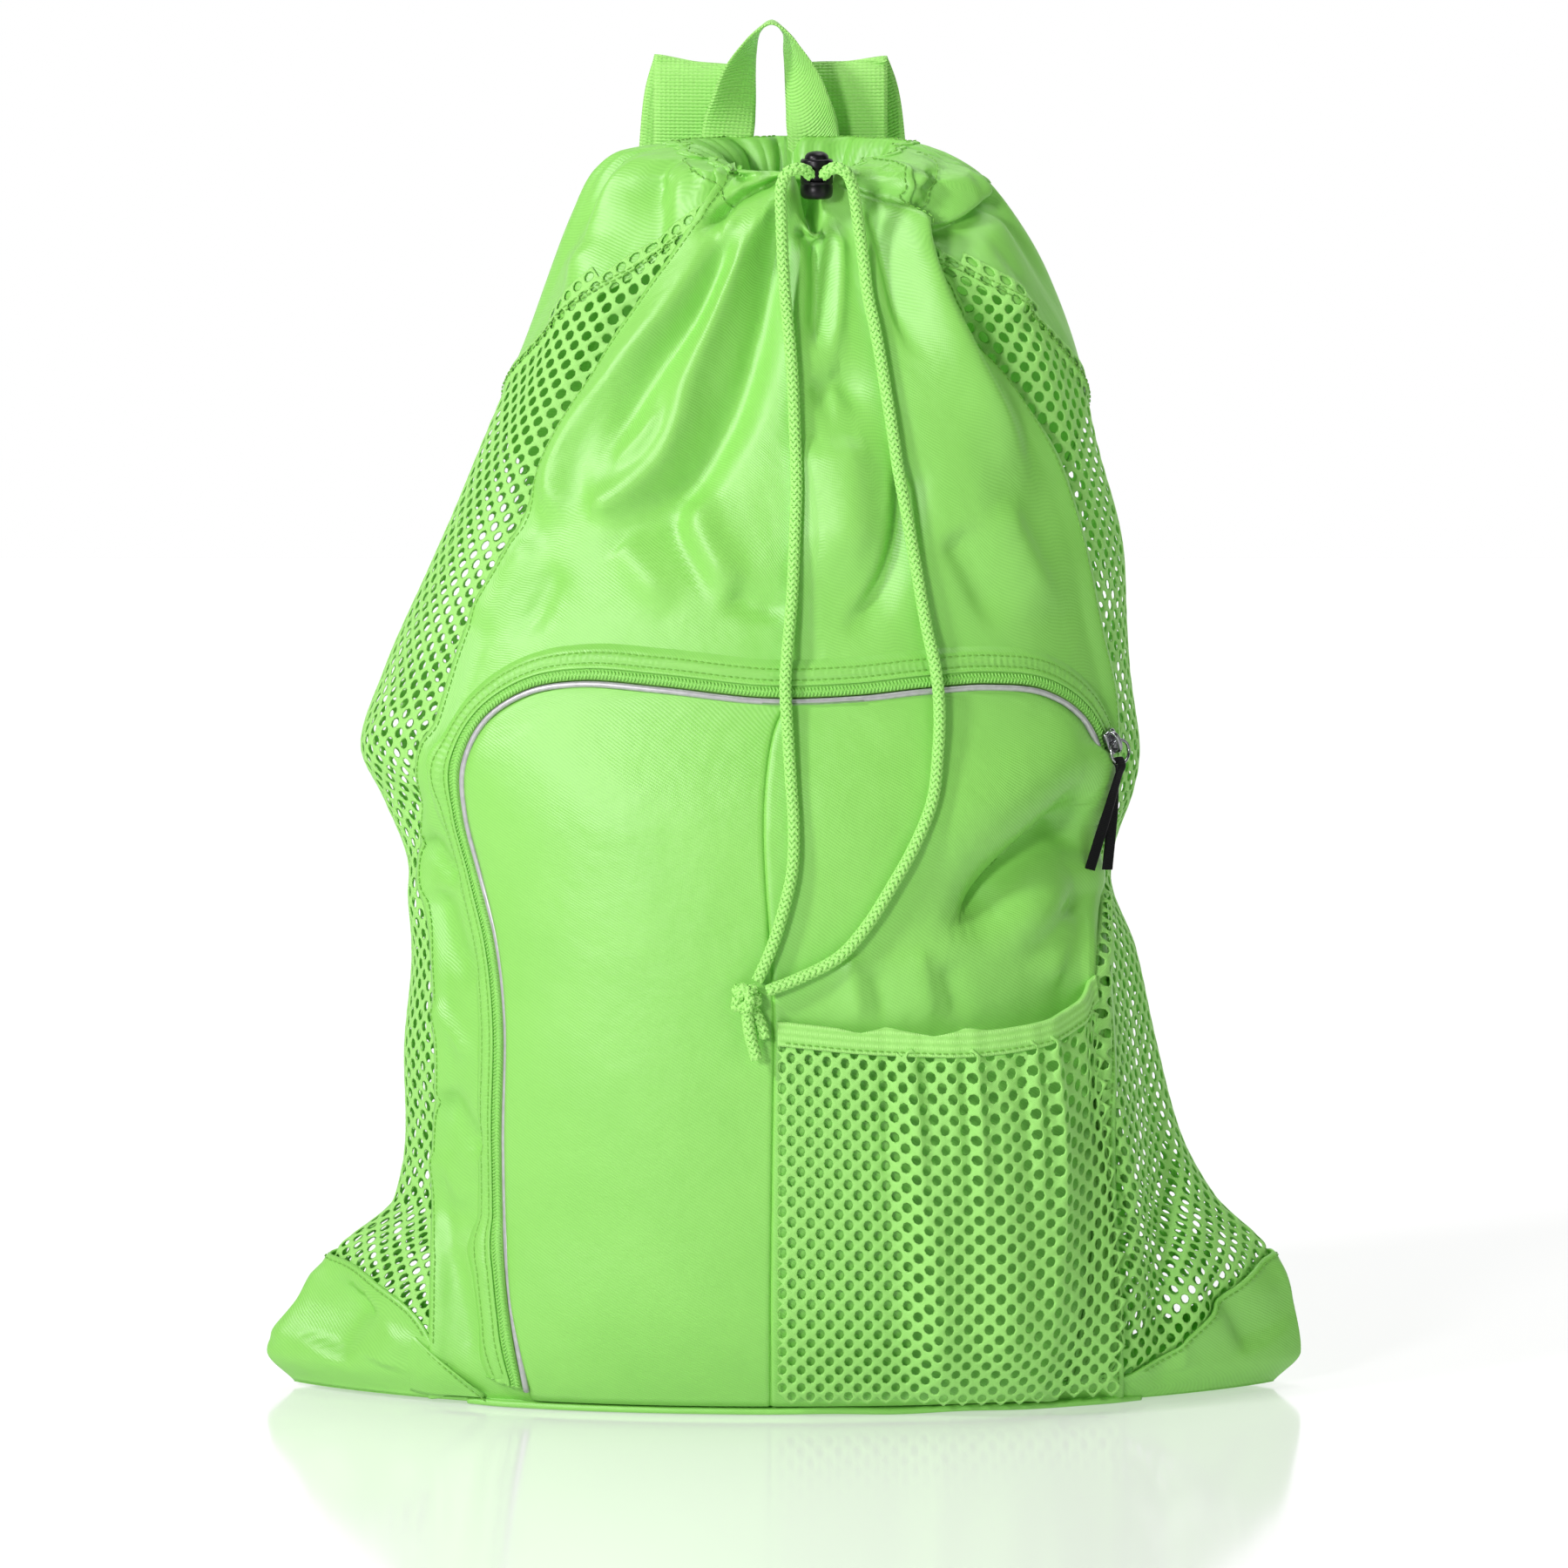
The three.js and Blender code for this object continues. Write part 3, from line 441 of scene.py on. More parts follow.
# The bag's outside by angle (0 at the front middle, 90 at the right point) and running height
def shell(angle, level):
    angle, level = np.broadcast_arrays(np.asarray(angle, float), np.asarray(level, float))
    turn = np.radians(angle)
    c = np.cos(turn)
    deep = np.where(c > 0, sections.at("front", level), sections.at("back", level))
    x = placeX(angle, level)
    y = -deep * np.sign(c) * np.abs(c) ** (2 / sections.at("squareY", level))
    push = sections.at("gather", level) * np.cos(gatherCount * turn)
    push = push + foldPush(folds + softFolds, angle, level) + softPush(wrapped(angle), level, x)
    reach = 1 + push / np.maximum(np.hypot(x, y), 1)
    ridge = pleat.at("ridge", level) * bell((x - pleat.at("ridgeX", level)) / pleatLook["wide"])
    valley = pleat.at("valley", level) * bell((x - pleat.at("valleyX", level)) / pleatLook["wide"])
    forward = (ridge + valley) * ease(c * pleatLook["front"])
    z = sections.at("z", level) - sections.at("drop", level) * np.maximum(c, 0) ** 2
    notch = notchLook["deep"] * (1 - ease(np.abs(x - notchLook["x"]) / notchLook["half"]))
    z = z - notch * ease((level - notchLook["start"]) / notchLook["rise"]) * ease(c * notchLook["front"])
    return np.stack([x * reach, y * reach - forward, z], axis=-1)


# The slope is read over these steps of angle and level, or broader ones
angleStep, levelStep = 0.5, 0.8


def shellNormal(angle, level, broad=1.0):
    turn, rise = angleStep * broad, levelStep * broad
    across = shell(angle + turn, level) - shell(angle - turn, level)
    up = shell(angle, level + rise) - shell(angle, level - rise)
    return unit(np.cross(across, up))


# A point lifted off the outside. A broad reading of the slope keeps a high lift smooth.
def skin(angle, level, lift, broad=1.0):
    angle, level, lift = np.broadcast_arrays(*(np.asarray(v, float) for v in (angle, level, lift)))
    return shell(angle, level) + shellNormal(angle, level, broad) * lift[..., None]


# Front and back panels between their seams, reaching past them by a hem
def panelPlace(face, row, across, over=0.0):
    level = stations.at(face, row)
    if face == "front":
        start = angleAt(-stations.at("leftX", row), level)
        end = angleAt(stations.at("rightX", row), level)
    else:
        start = 180 - angleAt(stations.at("backX", row), level)
        end = 180 - angleAt(-stations.at("backX", row), level)
    share = over / np.linalg.norm(shell(start, level) - shell(end, level), axis=-1)
    return mix(start, end, mix(-share, 1 + share, across)), level


# Sides between the front and back seams: corner patch, net and yoke share these rows.
# A side's angles grow from the front seam to the back seam.
def seamAngles(side, row):
    front = angleAt(side * stations.at("leftX" if side < 0 else "rightX", row), stations.at("front", row))
    back = angleAt(side * stations.at("backX", row), stations.at("back", row))
    return np.abs(front), 180 - np.abs(back)


def sidePlace(side, row, across):
    start, end = seamAngles(side, row)
    level = mix(stations.at("front", row), stations.at("back", row), across)
    rise = stations.at("rise", row) * np.sin(np.pi * np.clip(across, 0, 1))
    return side * mix(start, end, across), level + rise


# The pocket's edge on the shell, with offsets outward along the shell
def edgePlace(t, offset):
    def place(s):
        p = edgeCurve.at(s)
        return angleAt(p[..., 0], p[..., 1]), p[..., 1]

    t = np.asarray(t, float)
    angle, level = place(t)
    a0, l0 = place(t - edgeStep)
    a1, l1 = place(t + edgeStep)
    perAngle = np.linalg.norm(shell(angle + 0.5, level) - shell(angle - 0.5, level), axis=-1)
    perLevel = np.linalg.norm(shell(angle, level + 0.5) - shell(angle, level - 0.5), axis=-1)
    along = unit(np.stack([(a1 - a0) * perAngle, (l1 - l0) * perLevel], axis=-1))
    return angle - offset * along[..., 1] / perAngle, level + offset * along[..., 0] / perLevel


# How the pocket stands out: its height, its half widths in degrees, and where it rises and falls away
puffLook = {"height": 8, "left": 50, "right": 58, "round": 0.7, "rise": 60, "top": 352, "fall": 70}


def pocketPuff(angle, level):
    half = np.where(angle < 0, puffLook["left"], puffLook["right"])
    sideways = np.maximum(1 - (angle / half) ** 2, 0) ** puffLook["round"]
    ends = ease(level / puffLook["rise"]) * ease((puffLook["top"] - level) / puffLook["fall"])
    return puffLook["height"] * sideways * ends


# A place on the pocket: straight across in X between its edges, bending to the top edge
def pocketPlace(across, up, inset):
    count = edgeCurve.count

    def flat(t):
        angle, level = edgePlace(t / count, -inset)
        return np.stack([placeX(angle, level), level])

    left = flat(up * leftCornerEnd)
    right = flat(count - up * (count - rightCornerEnd))
    topLeft, topRight = flat(np.array(leftCornerEnd)), flat(np.array(rightCornerEnd))
    top = flat(mix(leftCornerEnd, rightCornerEnd, across))
    extra = (slice(None),) + (None,) * np.ndim(across)
    bend = top - mix(topLeft[extra], topRight[extra], across)
    x, level = mix(left, right, across) + bend * up**4
    return angleAt(x, level), level


# A piece from its points, faces and cloth lengths, in a finish's material. A finish is a material and a slot
# name.
def makePiece(name, parts, finish, *nodes, body="bag"):
    points, faces, uv = parts
    material, slot = finish
    mesh = bpy.data.meshes.new(name)
    mesh.from_pydata((points * metre).tolist(), [], [list(face) for face in faces])
    corner = np.empty(len(mesh.loops), np.int32)
    mesh.loops.foreach_get("vertex_index", corner)
    mesh.uv_layers.new(name="cloth").data.foreach_set("uv", uv.astype(np.float32)[corner].ravel())
    mesh.polygons.foreach_set("use_smooth", np.full(len(mesh.polygons), True))
    mesh.materials.append(material)
    mesh.update()
    piece = bpy.data.objects.new(name, mesh)
    bpy.context.scene.collection.objects.link(piece)
    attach(piece, body)
    if nodes:
        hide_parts(*nodes)
    return piece


def gridFaces(rows, columns, start=0, wrap=False, flip=False):
    j, i = np.meshgrid(np.arange(rows - 1), np.arange(columns if wrap else columns - 1), indexing="ij")
    low, high, side = j * columns, (j + 1) * columns, (i + 1) % columns
    quads = np.stack([low + i, low + side, high + side, high + i], axis=-1).reshape(-1, 4) + start
    return quads[:, ::-1] if flip else quads


# Rings joined into a tube, its two ends closed
def tubeFaces(rows, sides):
    ends = [list(range(sides))[::-1], list(range((rows - 1) * sides, rows * sides))]
    return gridFaces(rows, sides, 0, True).tolist() + ends


def gridNormals(points, wrap=False):
    if wrap:
        across = np.roll(points, -1, axis=1) - np.roll(points, 1, axis=1)
    else:
        across = np.gradient(points, axis=1)
    return unit(np.cross(across, np.gradient(points, axis=0)))


def gridLengths(points):
    across = np.linalg.norm(np.diff(points, axis=1), axis=2)
    up = np.linalg.norm(np.diff(points, axis=0), axis=2)
    u = np.pad(np.cumsum(across, axis=1), ((0, 0), (1, 0)))
    v = np.pad(np.cumsum(up, axis=0), ((1, 0), (0, 0)))
    return np.stack([u - u.mean(1, keepdims=True), v], axis=-1)


# Two layers of points, joined round their rim
def layerParts(outer, inner, lengths, wrap=False):
    rows, columns = outer.shape[:2]
    size = rows * columns
    faces = [gridFaces(rows, columns, 0, wrap), gridFaces(rows, columns, size, wrap, True)]
    index = np.arange(size).reshape(rows, columns)
    edges = [index[0], index[-1][::-1]]
    if wrap:
        edges = [np.append(edge, edge[0]) for edge in edges]
    else:
        edges += [index[:, -1], index[::-1, 0]]
    for edge in edges:
        a, b = edge[:-1], edge[1:]
        faces.append(np.stack([b, a, a + size, b + size], axis=1))
    points = np.concatenate([outer.reshape(-1, 3), inner.reshape(-1, 3)])
    return points, np.concatenate(faces), np.tile(lengths.reshape(-1, 2), (2, 1))


# A cloth of even thickness over a grid of points
def clothParts(points, thick, lift=0.0, wrap=False):
    normal = gridNormals(points, wrap)
    raised = np.broadcast_to(np.asarray(lift, float), points.shape[:2])[..., None]
    outer, inner = points + normal * raised, points + normal * (raised - thick)
    return layerParts(outer, inner, gridLengths(points), wrap)


# Steady frames along a line of points: tangent, and two directions across it
def lineFrames(points, hint=(0, -1, 0)):
    tangent = unit(np.gradient(points, axis=0))
    across = np.empty_like(tangent)
    side = np.cross(tangent[0], hint)
    for k, t in enumerate(tangent):
        side = side - t * side.dot(t)
        side = side / np.linalg.norm(side)
        across[k] = side
    return tangent, across, np.cross(across, tangent)


def tubeParts(points, radius, sides):
    across, out = lineFrames(points)[1:]
    turn = around(sides)
    ring = np.cos(turn)[None, :, None] * across[:, None] + np.sin(turn)[None, :, None] * out[:, None]
    rings = points[:, None] + ring * radius
    uv = np.stack(np.broadcast_arrays(turn[None] * 3, runOf(points)[:, None]), axis=-1)
    return rings.reshape(-1, 3), tubeFaces(len(points), sides), uv.reshape(-1, 2)


def joinParts(parts):
    points, faces, uvs = [], [], []
    start = 0
    for place, face, uv in parts:
        points.append(place)
        uvs.append(uv)
        face = face.tolist() if isinstance(face, np.ndarray) else face
        faces.extend([[k + start for k in corners] for corners in face])
        start += len(place)
    return np.concatenate(points), faces, np.concatenate(uvs)


# Copies of one small form, each in its own frame
def scatterParts(form, faces, places, axisX, axisY, axisZ):
    points = places[:, None]
    for k, axis in enumerate((axisX, axisY, axisZ)):
        points = points + form[None, :, k, None] * axis[:, None]
    every = faces[None] + (np.arange(len(places)) * len(form))[:, None, None]
    return points.reshape(-1, 3), every.reshape(-1, 4), np.tile(form[:, :2], (len(places), 1))


# A rounded bead, long in X, for stitches and floats of yarn
def bead(length, wide, tall, rings=5, sides=5):
    turn, spin = np.linspace(0, np.pi, rings), around(sides)
    girth = np.maximum(np.sin(turn), 0.12) ** 0.6
    x = np.broadcast_to(-np.cos(turn)[:, None] * length / 2, (rings, sides))
    y = girth[:, None] * np.cos(spin)[None] * wide / 2
    z = girth[:, None] * np.sin(spin)[None] * tall / 2
    return np.stack([x, y, z], axis=-1).reshape(-1, 3), gridFaces(rings, sides, 0, True)


# Shader values that add their own Math nodes
class Sock:
    def __init__(self, shade, socket):
        self.shade = shade
        self.socket = socket

    def sum(self, operation, *others):
        values = {k + 1: other for k, other in enumerate(others)}
        return self.shade.node("ShaderNodeMath", {"operation": operation}, {0: self, **values})

    def __add__(self, other):
        return self.sum("ADD", other)

    def __radd__(self, other):
        return self.sum("ADD", other)

    def __sub__(self, other):
        return self.sum("SUBTRACT", other)

    def __rsub__(self, other):
        return (self * -1).sum("ADD", other)

    def __mul__(self, other):
        return self.sum("MULTIPLY", other)

    def __rmul__(self, other):
        return self.sum("MULTIPLY", other)

    def sine(self):
        return self.sum("SINE")


class Shade:
    def __init__(self, name):
        self.material = bpy.data.materials.new(name)
        self.material.use_nodes = True
        self.tree = self.material.node_tree
        self.tree.nodes.clear()

    def node(self, kind, settings=None, values=None, out=0):
        node = self.tree.nodes.new(kind)
        for key, value in (settings or {}).items():
            setattr(node, key, value)
        for key, value in (values or {}).items():
            if isinstance(value, Sock):
                self.tree.links.new(value.socket, node.inputs[key])
            else:
                node.inputs[key].default_value = value
        return Sock(self, node.outputs[out])

    def cloth(self):
        place = self.node("ShaderNodeUVMap", {"uv_map": "cloth"})
        u = self.node("ShaderNodeSeparateXYZ", None, {0: place}, 0)
        v = self.node("ShaderNodeSeparateXYZ", None, {0: place}, 1)
        return place, u, v

    def noise(self, place, scale, detail=3.0):
        return self.node("ShaderNodeTexNoise", None, {"Vector": place, "Scale": scale, "Detail": detail})

    # A Mix node's colours are its sockets 6 and 7, and its colour comes out of 2
    def blend(self, share, low, high):
        return self.node("ShaderNodeMix", {"data_type": "RGBA"}, {0: share, 6: low, 7: high}, 2)

    def bump(self, height, strength, distance, **under):
        values = {"Height": height, "Strength": strength, "Distance": distance, **under}
        return self.node("ShaderNodeBump", None, values)

    def done(self, **values):
        surface = self.node("ShaderNodeBsdfPrincipled", None, values)
        output = self.tree.nodes.new("ShaderNodeOutputMaterial")
        self.tree.links.new(surface.socket, output.inputs["Surface"])
        return self.material

    # Every finish of the bag has the same kinds of values
    def finish(self, slot, color, rough, bump, shine, metal=0.0):
        values = {"Base Color": color, "Roughness": rough, "Normal": bump}
        return self.done(**values, **{"Specular IOR Level": shine, "Metallic": metal}), slot


limeBright = (0.295, 0.71, 0.13, 1)
limeDeep = (0.205, 0.575, 0.08, 1)
limePale = (0.46, 0.9, 0.25, 1)
# The stitch thread is painted darker than the cloth: painted shade for the holes and grooves the stitches sit
# in
threadShadeDeep, threadShadePale = (0.12, 0.35, 0.04, 1), (0.24, 0.58, 0.09, 1)
silverDeep, silverPale = (0.36, 0.37, 0.37, 1), (0.6, 0.61, 0.61, 1)
steelDeep, steelPale = (0.16, 0.165, 0.175, 1), (0.5, 0.51, 0.53, 1)
jet, jetSoft, jetPale = (0.002, 0.002, 0.003, 1), (0.005, 0.005, 0.006, 1), (0.01, 0.01, 0.011, 1)


def twillFinish(name, slot, pitch, sheen):
    shade = Shade(name)
    place, u, v = shade.cloth()
    rib = ((u * 0.62 + v) * (fullTurn / pitch)).sine()
    thread = ((u - v * 0.3) * (fullTurn / (pitch * 0.7))).sine()
    weave = rib * 0.4 + thread * 0.12
    cloud = shade.noise(place, 0.02, 2.0)
    crease = shade.noise(place, 0.055, 2.5)
    tone = (weave * 0.9 + 0.5) * 0.45 + cloud * 0.55
    soft = shade.bump(crease, 0.35, 0.0022)
    bump = shade.bump(weave, 0.3, 0.0002, Normal=soft)
    color = shade.blend(tone, limeDeep, limeBright)
    return shade.finish(slot, color, cloud * 0.14 + sheen, bump, 0.75)


def netFinish():
    shade = Shade("limeNet")
    place, u, v = shade.cloth()
    strand = ((u + v) * (fullTurn / 0.8)).sine() * 0.5 + ((u - v) * (fullTurn / 0.9)).sine() * 0.5
    grain = shade.noise(place, 1.6, 2.0)
    bump = shade.bump(strand * 0.5 + grain, 0.45, 0.0003)
    color = shade.blend(grain * 0.6 + strand * 0.15 + 0.2, limeDeep, limePale)
    return shade.finish("lime_net", color, grain * 0.2 + 0.42, bump, 0.4)


def ribbedFinish(name, slot, along, across, strength, low, high):
    shade = Shade(name)
    place, u, v = shade.cloth()
    rows = (v * (fullTurn / along)).sine()
    columns = (u * (fullTurn / across)).sine()
    weave = rows * 0.8 + columns * 0.2 + rows * columns * 0.3
    grain = shade.noise(place, 0.8, 2.0)
    bump = shade.bump(weave + grain * 0.4, strength, 0.0004)
    color = shade.blend(weave * 0.22 + grain * 0.5 + 0.3, low, high)
    return shade.finish(slot, color, grain * 0.15 + 0.46, bump, 0.35)


def yarnFinish(name, low, high):
    shade = Shade(name)
    place, u, v = shade.cloth()
    fibre = ((v + u * 0.1) * (fullTurn / 0.45)).sine()
    grain = shade.noise(place, 1.1, 2.0)
    bump = shade.bump(fibre * 0.5 + grain, 0.35, 0.0002)
    color = shade.blend(grain * 0.5 + fibre * 0.12 + 0.35, low, high)
    return shade.finish("lime_cord", color, grain * 0.2 + 0.42, bump, 0.35)


def smoothFinish(name, slot, low, high, rough, metal, scale):
    shade = Shade(name)
    place = shade.node("ShaderNodeTexCoord", None, None, 3)
    grain = shade.noise(place, scale)
    color = shade.blend(grain, low, high)
    bump = shade.bump(grain, 0.08, 0.0002)
    return shade.finish(slot, color, grain * 0.12 + rough, bump, 0.3, metal)


def ribbonFinish():
    shade = Shade("blackRibbon")
    place, _, v = shade.cloth()
    rows = (v * (fullTurn / 0.7)).sine()
    grain = shade.noise(place, 1.2, 2.0)
    color = shade.blend(rows * 0.2 + grain * 0.6, jet, jetPale)
    bump = shade.bump(rows + grain, 0.35, 0.0002)
    return shade.finish("black_ribbon", color, grain * 0.2 + 0.4, bump, 0.12)


twill = twillFinish("limeTwill", "lime_twill", 1.5, 0.38)
net = netFinish()
strapping = ribbedFinish("limeWebbing", "lime_webbing", 1.7, 2.2, 0.7, limeBright, limePale)
elastic = ribbedFinish("limeElastic", "lime_elastic", 3.4, 1.1, 0.5, limeDeep, limePale)
tape = twillFinish("limeZipper", "lime_zipper", 1.6, 0.48)
yarn = yarnFinish("limeCord", limeBright, limePale)
# Stitch thread in darker greens, a painted shade of the stitch holes
thread = yarnFinish("limeThreadShaded", threadShadeDeep, threadShadePale)
silver = smoothFinish("silverPiping", "silver_piping", silverDeep, silverPale, 0.3, 0.35, 300)
plastic = smoothFinish("blackPlastic", "black_plastic", jet, jetSoft, 0.3, 0.0, 200)
metal = smoothFinish("darkMetal", "dark_metal", steelDeep, steelPale, 0.16, 1.0, 250)
black = ribbonFinish()
print("finishes made")

# Hanging cord, from the lock to the knot: the part's own routes
leftLeg = [
    (12.2, -51.4, 591), (10.6, -54.6, 593.4), (5.9, -57.2, 594.6), (1.2, -58.2, 592.4), (-1.2, -58.6, 586.6),
    (-1.5, -58.6, 580), (-1.2, -58.4, 571), (-0.8, -59.4, 558.5), (0.4, -62.2, 537), (3.8, -71.4, 500.5),
    (5, -77, 474), (5.9, -82.2, 447), (5, -87, 420.5), (3.8, -90.6, 394), (1.7, -95.8, 370),
    (0.6, -100.4, 354.5), (0.9, -102.3, 345), (1.6, -104.4, 334), (2.9, -109.4, 314), (4.6, -115, 287),
    (3.8, -117.2, 267), (-0.8, -118.4, 246.5), (-6.3, -119, 229.5), (-12.6, -119.8, 215.2),
]
rightLeg = [
    (18.8, -51.4, 591), (20.8, -54.4, 593.6), (25.2, -56.8, 595), (29.6, -57, 592.6), (32.2, -55.4, 587),
    (33.6, -53.6, 580), (34.9, -52, 571), (36.4, -51.4, 560.5), (37.8, -52.4, 550), (39.9, -55.8, 534),
    (43.3, -61.2, 518.5), (47.9, -67.6, 492.5), (51.2, -72.4, 472.5), (54.2, -76.2, 453), (58, -79.6, 433),
    (62.6, -83.4, 407), (67.2, -87, 381), (72.2, -93.4, 357), (73.5, -97, 338.5), (72.7, -101.4, 320),
    (70.1, -107.2, 299.5), (62.2, -111.4, 279.5), (51.2, -114.8, 260), (39.1, -117.2, 241),
    (26, -118.6, 226.5), (5.9, -119.8, 216), (-8, -120.8, 210.6),
]
knotAt = np.array((-17.6, -121.4, 207))
tails = [
    [(-17.4, -122.4, 203), (-16.4, -122.6, 192), (-13, -122.4, 178.5)],
    [(-15, -119.6, 203), (-10.6, -119.6, 194), (-9.4, -119.6, 188)],
]
lockAt = np.array((15.5, -43, 591))

# The cord's plait: columns of yarn floats round a core that lies this far under the cord's outside
cordLook = {"columns": 10, "pitch": 3.1, "length": 4.6, "wide": 2.0, "tall": 1.6, "slant": 36, "core": 0.75}


# Floats of yarn laid in a herringbone over a core
def braidParts(points, radius=cordRadius):
    run = runOf(points)
    rows = max(int(run[-1] / cordLook["pitch"]), 1)
    marks = (np.arange(rows) + 0.5) * run[-1] / rows
    at, t, a, o = (readAt(marks, run, values) for values in (points, *lineFrames(points)))
    form, faces = bead(cordLook["length"], cordLook["wide"], cordLook["tall"])
    parts = [tubeParts(points, radius - cordLook["core"], 8)]
    slant = math.radians(cordLook["slant"])
    for k, turn in enumerate(around(cordLook["columns"])):
        away = unit(a * math.cos(turn) + o * math.sin(turn))
        sideways = unit(np.cross(t, away))
        lean = slant if k % 2 else -slant
        axis = t * math.cos(lean) + sideways * math.sin(lean)
        side = np.cross(away, axis)
        parts.append(scatterParts(form, faces, at + away * (radius - cordLook["tall"] / 2), axis, side, away))
    return joinParts(parts)


# The knot about its middle: wraps with two directions, reach and rise, and turns over them with a radius
knotLook = {
    "wraps": [((1, 0, 0.25), (0, 0.55, 0), 5.2, -2.2), ((0.9, 0, -0.35), (0.1, 0.6, 0.2), 5.0, 2.6)],
    "turns": [
        ([(-3, -3.6, 6.5), (1.4, -5.2, 2), (0.6, -5, -3.4), (-0.4, -2, -6.4)], 2.7),
        ([(4, -1.6, 5), (-1, -4.2, 4.4), (-4.6, -3, 0), (-3, -1.4, -4.6)], 2.6),
    ],
    "radius": 2.6,
    "closed": 0.98,
}


def makeKnot():
    parts = []
    turn = np.linspace(0, 1, 40) * fullTurn * knotLook["closed"]
    for first, second, reach, rise in knotLook["wraps"]:
        loop = np.outer(np.cos(turn), first) + np.outer(np.sin(turn), second)
        parts.append(braidParts(knotAt + loop * reach + np.array((0, 0, rise)), knotLook["radius"]))
    for route, radius in knotLook["turns"]:
        parts.append(braidParts(knotAt + Curve(route).spaced(1.2), radius))
    for route in tails:
        parts.append(braidParts(Curve(route).spaced(1.5)))
    return makePiece("knot", joinParts(parts), yarn, "cord_knot")


knot = makeKnot()
for name, route, node in [("cordLeft", leftLeg, "drawcord_left"), ("cordRight", rightLeg, "drawcord_right")]:
    line = Curve(route).spaced(1.6)
    piece = makePiece(name, braidParts(line), yarn, node)
print("cords made")

detail = 1.0


def steps(count):
    return max(int(count * detail), 4)


def lattice(rows, columns):
    return np.meshgrid(np.linspace(0, 1, rows + 1), np.linspace(0, 1, columns + 1), indexing="ij")


# Front and back: one cloth each, lapped over the nets at the seams
panelLook = {
    "front": (214, 136),
    "back": (100, 64),
    "lap": 4.0,
    "edge": 0.9,
    "hem": 9.0,
    "welt": 0.5,
    "cover": 9.8,
}


def makePanel(face, node):
    up, across = lattice(*(steps(count) for count in panelLook[face]))
    row = up * hemRow
    points = shell(*panelPlace(face, row, across, panelLook["lap"]))
    run = gridLengths(points)[..., 0]
    fromEdge = np.minimum(run - run[:, :1], run[:, -1:] - run)
    # The front sinks behind the zip pocket, up to the row where the pocket ends
    inside = -coverDepth * ease((panelLook["cover"] - row) * 1.5) if face == "front" else 0 * row
    lift = mix(panelLook["edge"], inside, ease((fromEdge - 3) / panelLook["hem"]))
    lift = lift + panelLook["welt"] * bell((fromEdge - 2) / 1.8) * ease((hemRow - row) / 2)
    return makePiece(face + "Panel", clothParts(points, cloth, lift), twill, node)


makePanel("front", "front_panel")
makePanel("back", "back_panel")


# Lower corners and yokes: the side's cloth patches, and the row where each yoke's cloth ends
yokeEdge = {-1: yokeRow, 1: yokeRow - 0.3}
patchLook = {
    "columns": 110,
    "cornerRows": 36,
    "yokeRows": 80,
    "lap": 0.02,
    "tuck": 2.2,
    "raise": 1.0,
    "welt": 0.5,
}


def makePatch(name, side, place, rows, lift, node):
    up, across = lattice(steps(rows), steps(patchLook["columns"]))
    lap = patchLook["lap"]
    points, raised = shell(*place(side, up, mix(-lap, 1 + lap, across))), lift(up, across)
    if side < 0:
        points, raised = points[:, ::-1], raised[:, ::-1]
    return makePiece(name, clothParts(points, cloth, raised), twill, node)


# A corner's seam is straight, seen from the front: its upper end and slope, in X and level
cornerSeam = {-1: (215, 66, 0.86), 1: (228, 58, 0.79)}


def cornerPlace(side, up, across, below=0.0):
    foot, footLevel = sidePlace(side, np.zeros(across.shape), across)
    angle, level = sidePlace(side, np.full(across.shape, cornerRow + 0.1), across)
    x, top, slope = cornerSeam[side]
    line = np.minimum(top - (x - np.abs(placeX(angle, level))) * slope, top)
    top = np.where(across < 0.5, np.maximum(level, line), level) - below
    return mix(foot, angle, up), mix(footLevel, top, up)


def yokePlace(side, up, across):
    return sidePlace(side, mix(yokeEdge[side] - 0.08, hemRow, up), across)


def underSeam(across):
    return -patchLook["tuck"] * (1 - ease((np.minimum(across, 1 - across) - 0.005) / 0.03))


def cornerLift(up, across):
    welt = patchLook["welt"] * bell((up - 0.965) / 0.02)
    return underSeam(across) + patchLook["raise"] * ease((up - 0.6) / 0.3) + welt


def yokeLift(up, across):
    return underSeam(across) - patchLook["raise"] * (1 - ease((up - 0.02) / 0.06))


sideOf = {"left": -1, "right": 1}
for word, side in sideOf.items():
    name = word.title()
    makePatch("corner" + name, side, cornerPlace, patchLook["cornerRows"], cornerLift, "corner_" + word)
    makePatch("yoke" + name, side, yokePlace, patchLook["yokeRows"], yokeLift, "yoke_" + word)


# The left corner's point, sewn over the front panel's foot
tabLook = {
    "start": -188.0,
    "end": -144.0,
    "fold": -167.0,
    "tall": 42.7,
    "foot": 3.0,
    "thick": 0.8,
    "lift": 1.0,
    "welt": 0.4,
    "crease": 0.9,
    "tuck": 2.6,
}


def tabTop(x):
    share = (x - tabLook["start"]) / (tabLook["end"] - tabLook["start"])
    return mix(tabLook["tall"], tabLook["foot"] + 2, share)


def makeTab():
    up, across = lattice(steps(16), steps(16))
    x = mix(tabLook["start"], tabLook["end"], across)
    level = mix(tabLook["foot"], tabTop(x), up)
    lift = tabLook["lift"] + tabLook["welt"] * bell((up - 0.92) / 0.06)
    lift = lift + tabLook["crease"] * bell((x - tabLook["fold"]) / 7)
    lift = lift - tabLook["tuck"] * ramp(x, tabLook["start"] + 14, tabLook["start"])
    points = skin(angleAt(x, level), level, lift)
    return makePiece("cornerTab", clothParts(points, tabLook["thick"]), twill)


makeTab()


# The gathered hem round the mouth, swollen by the cord in it
hemLook = {"columns": 360, "rows": 24, "lap": 3, "thick": 2.0, "lift": 0.6, "swell": 1.6}


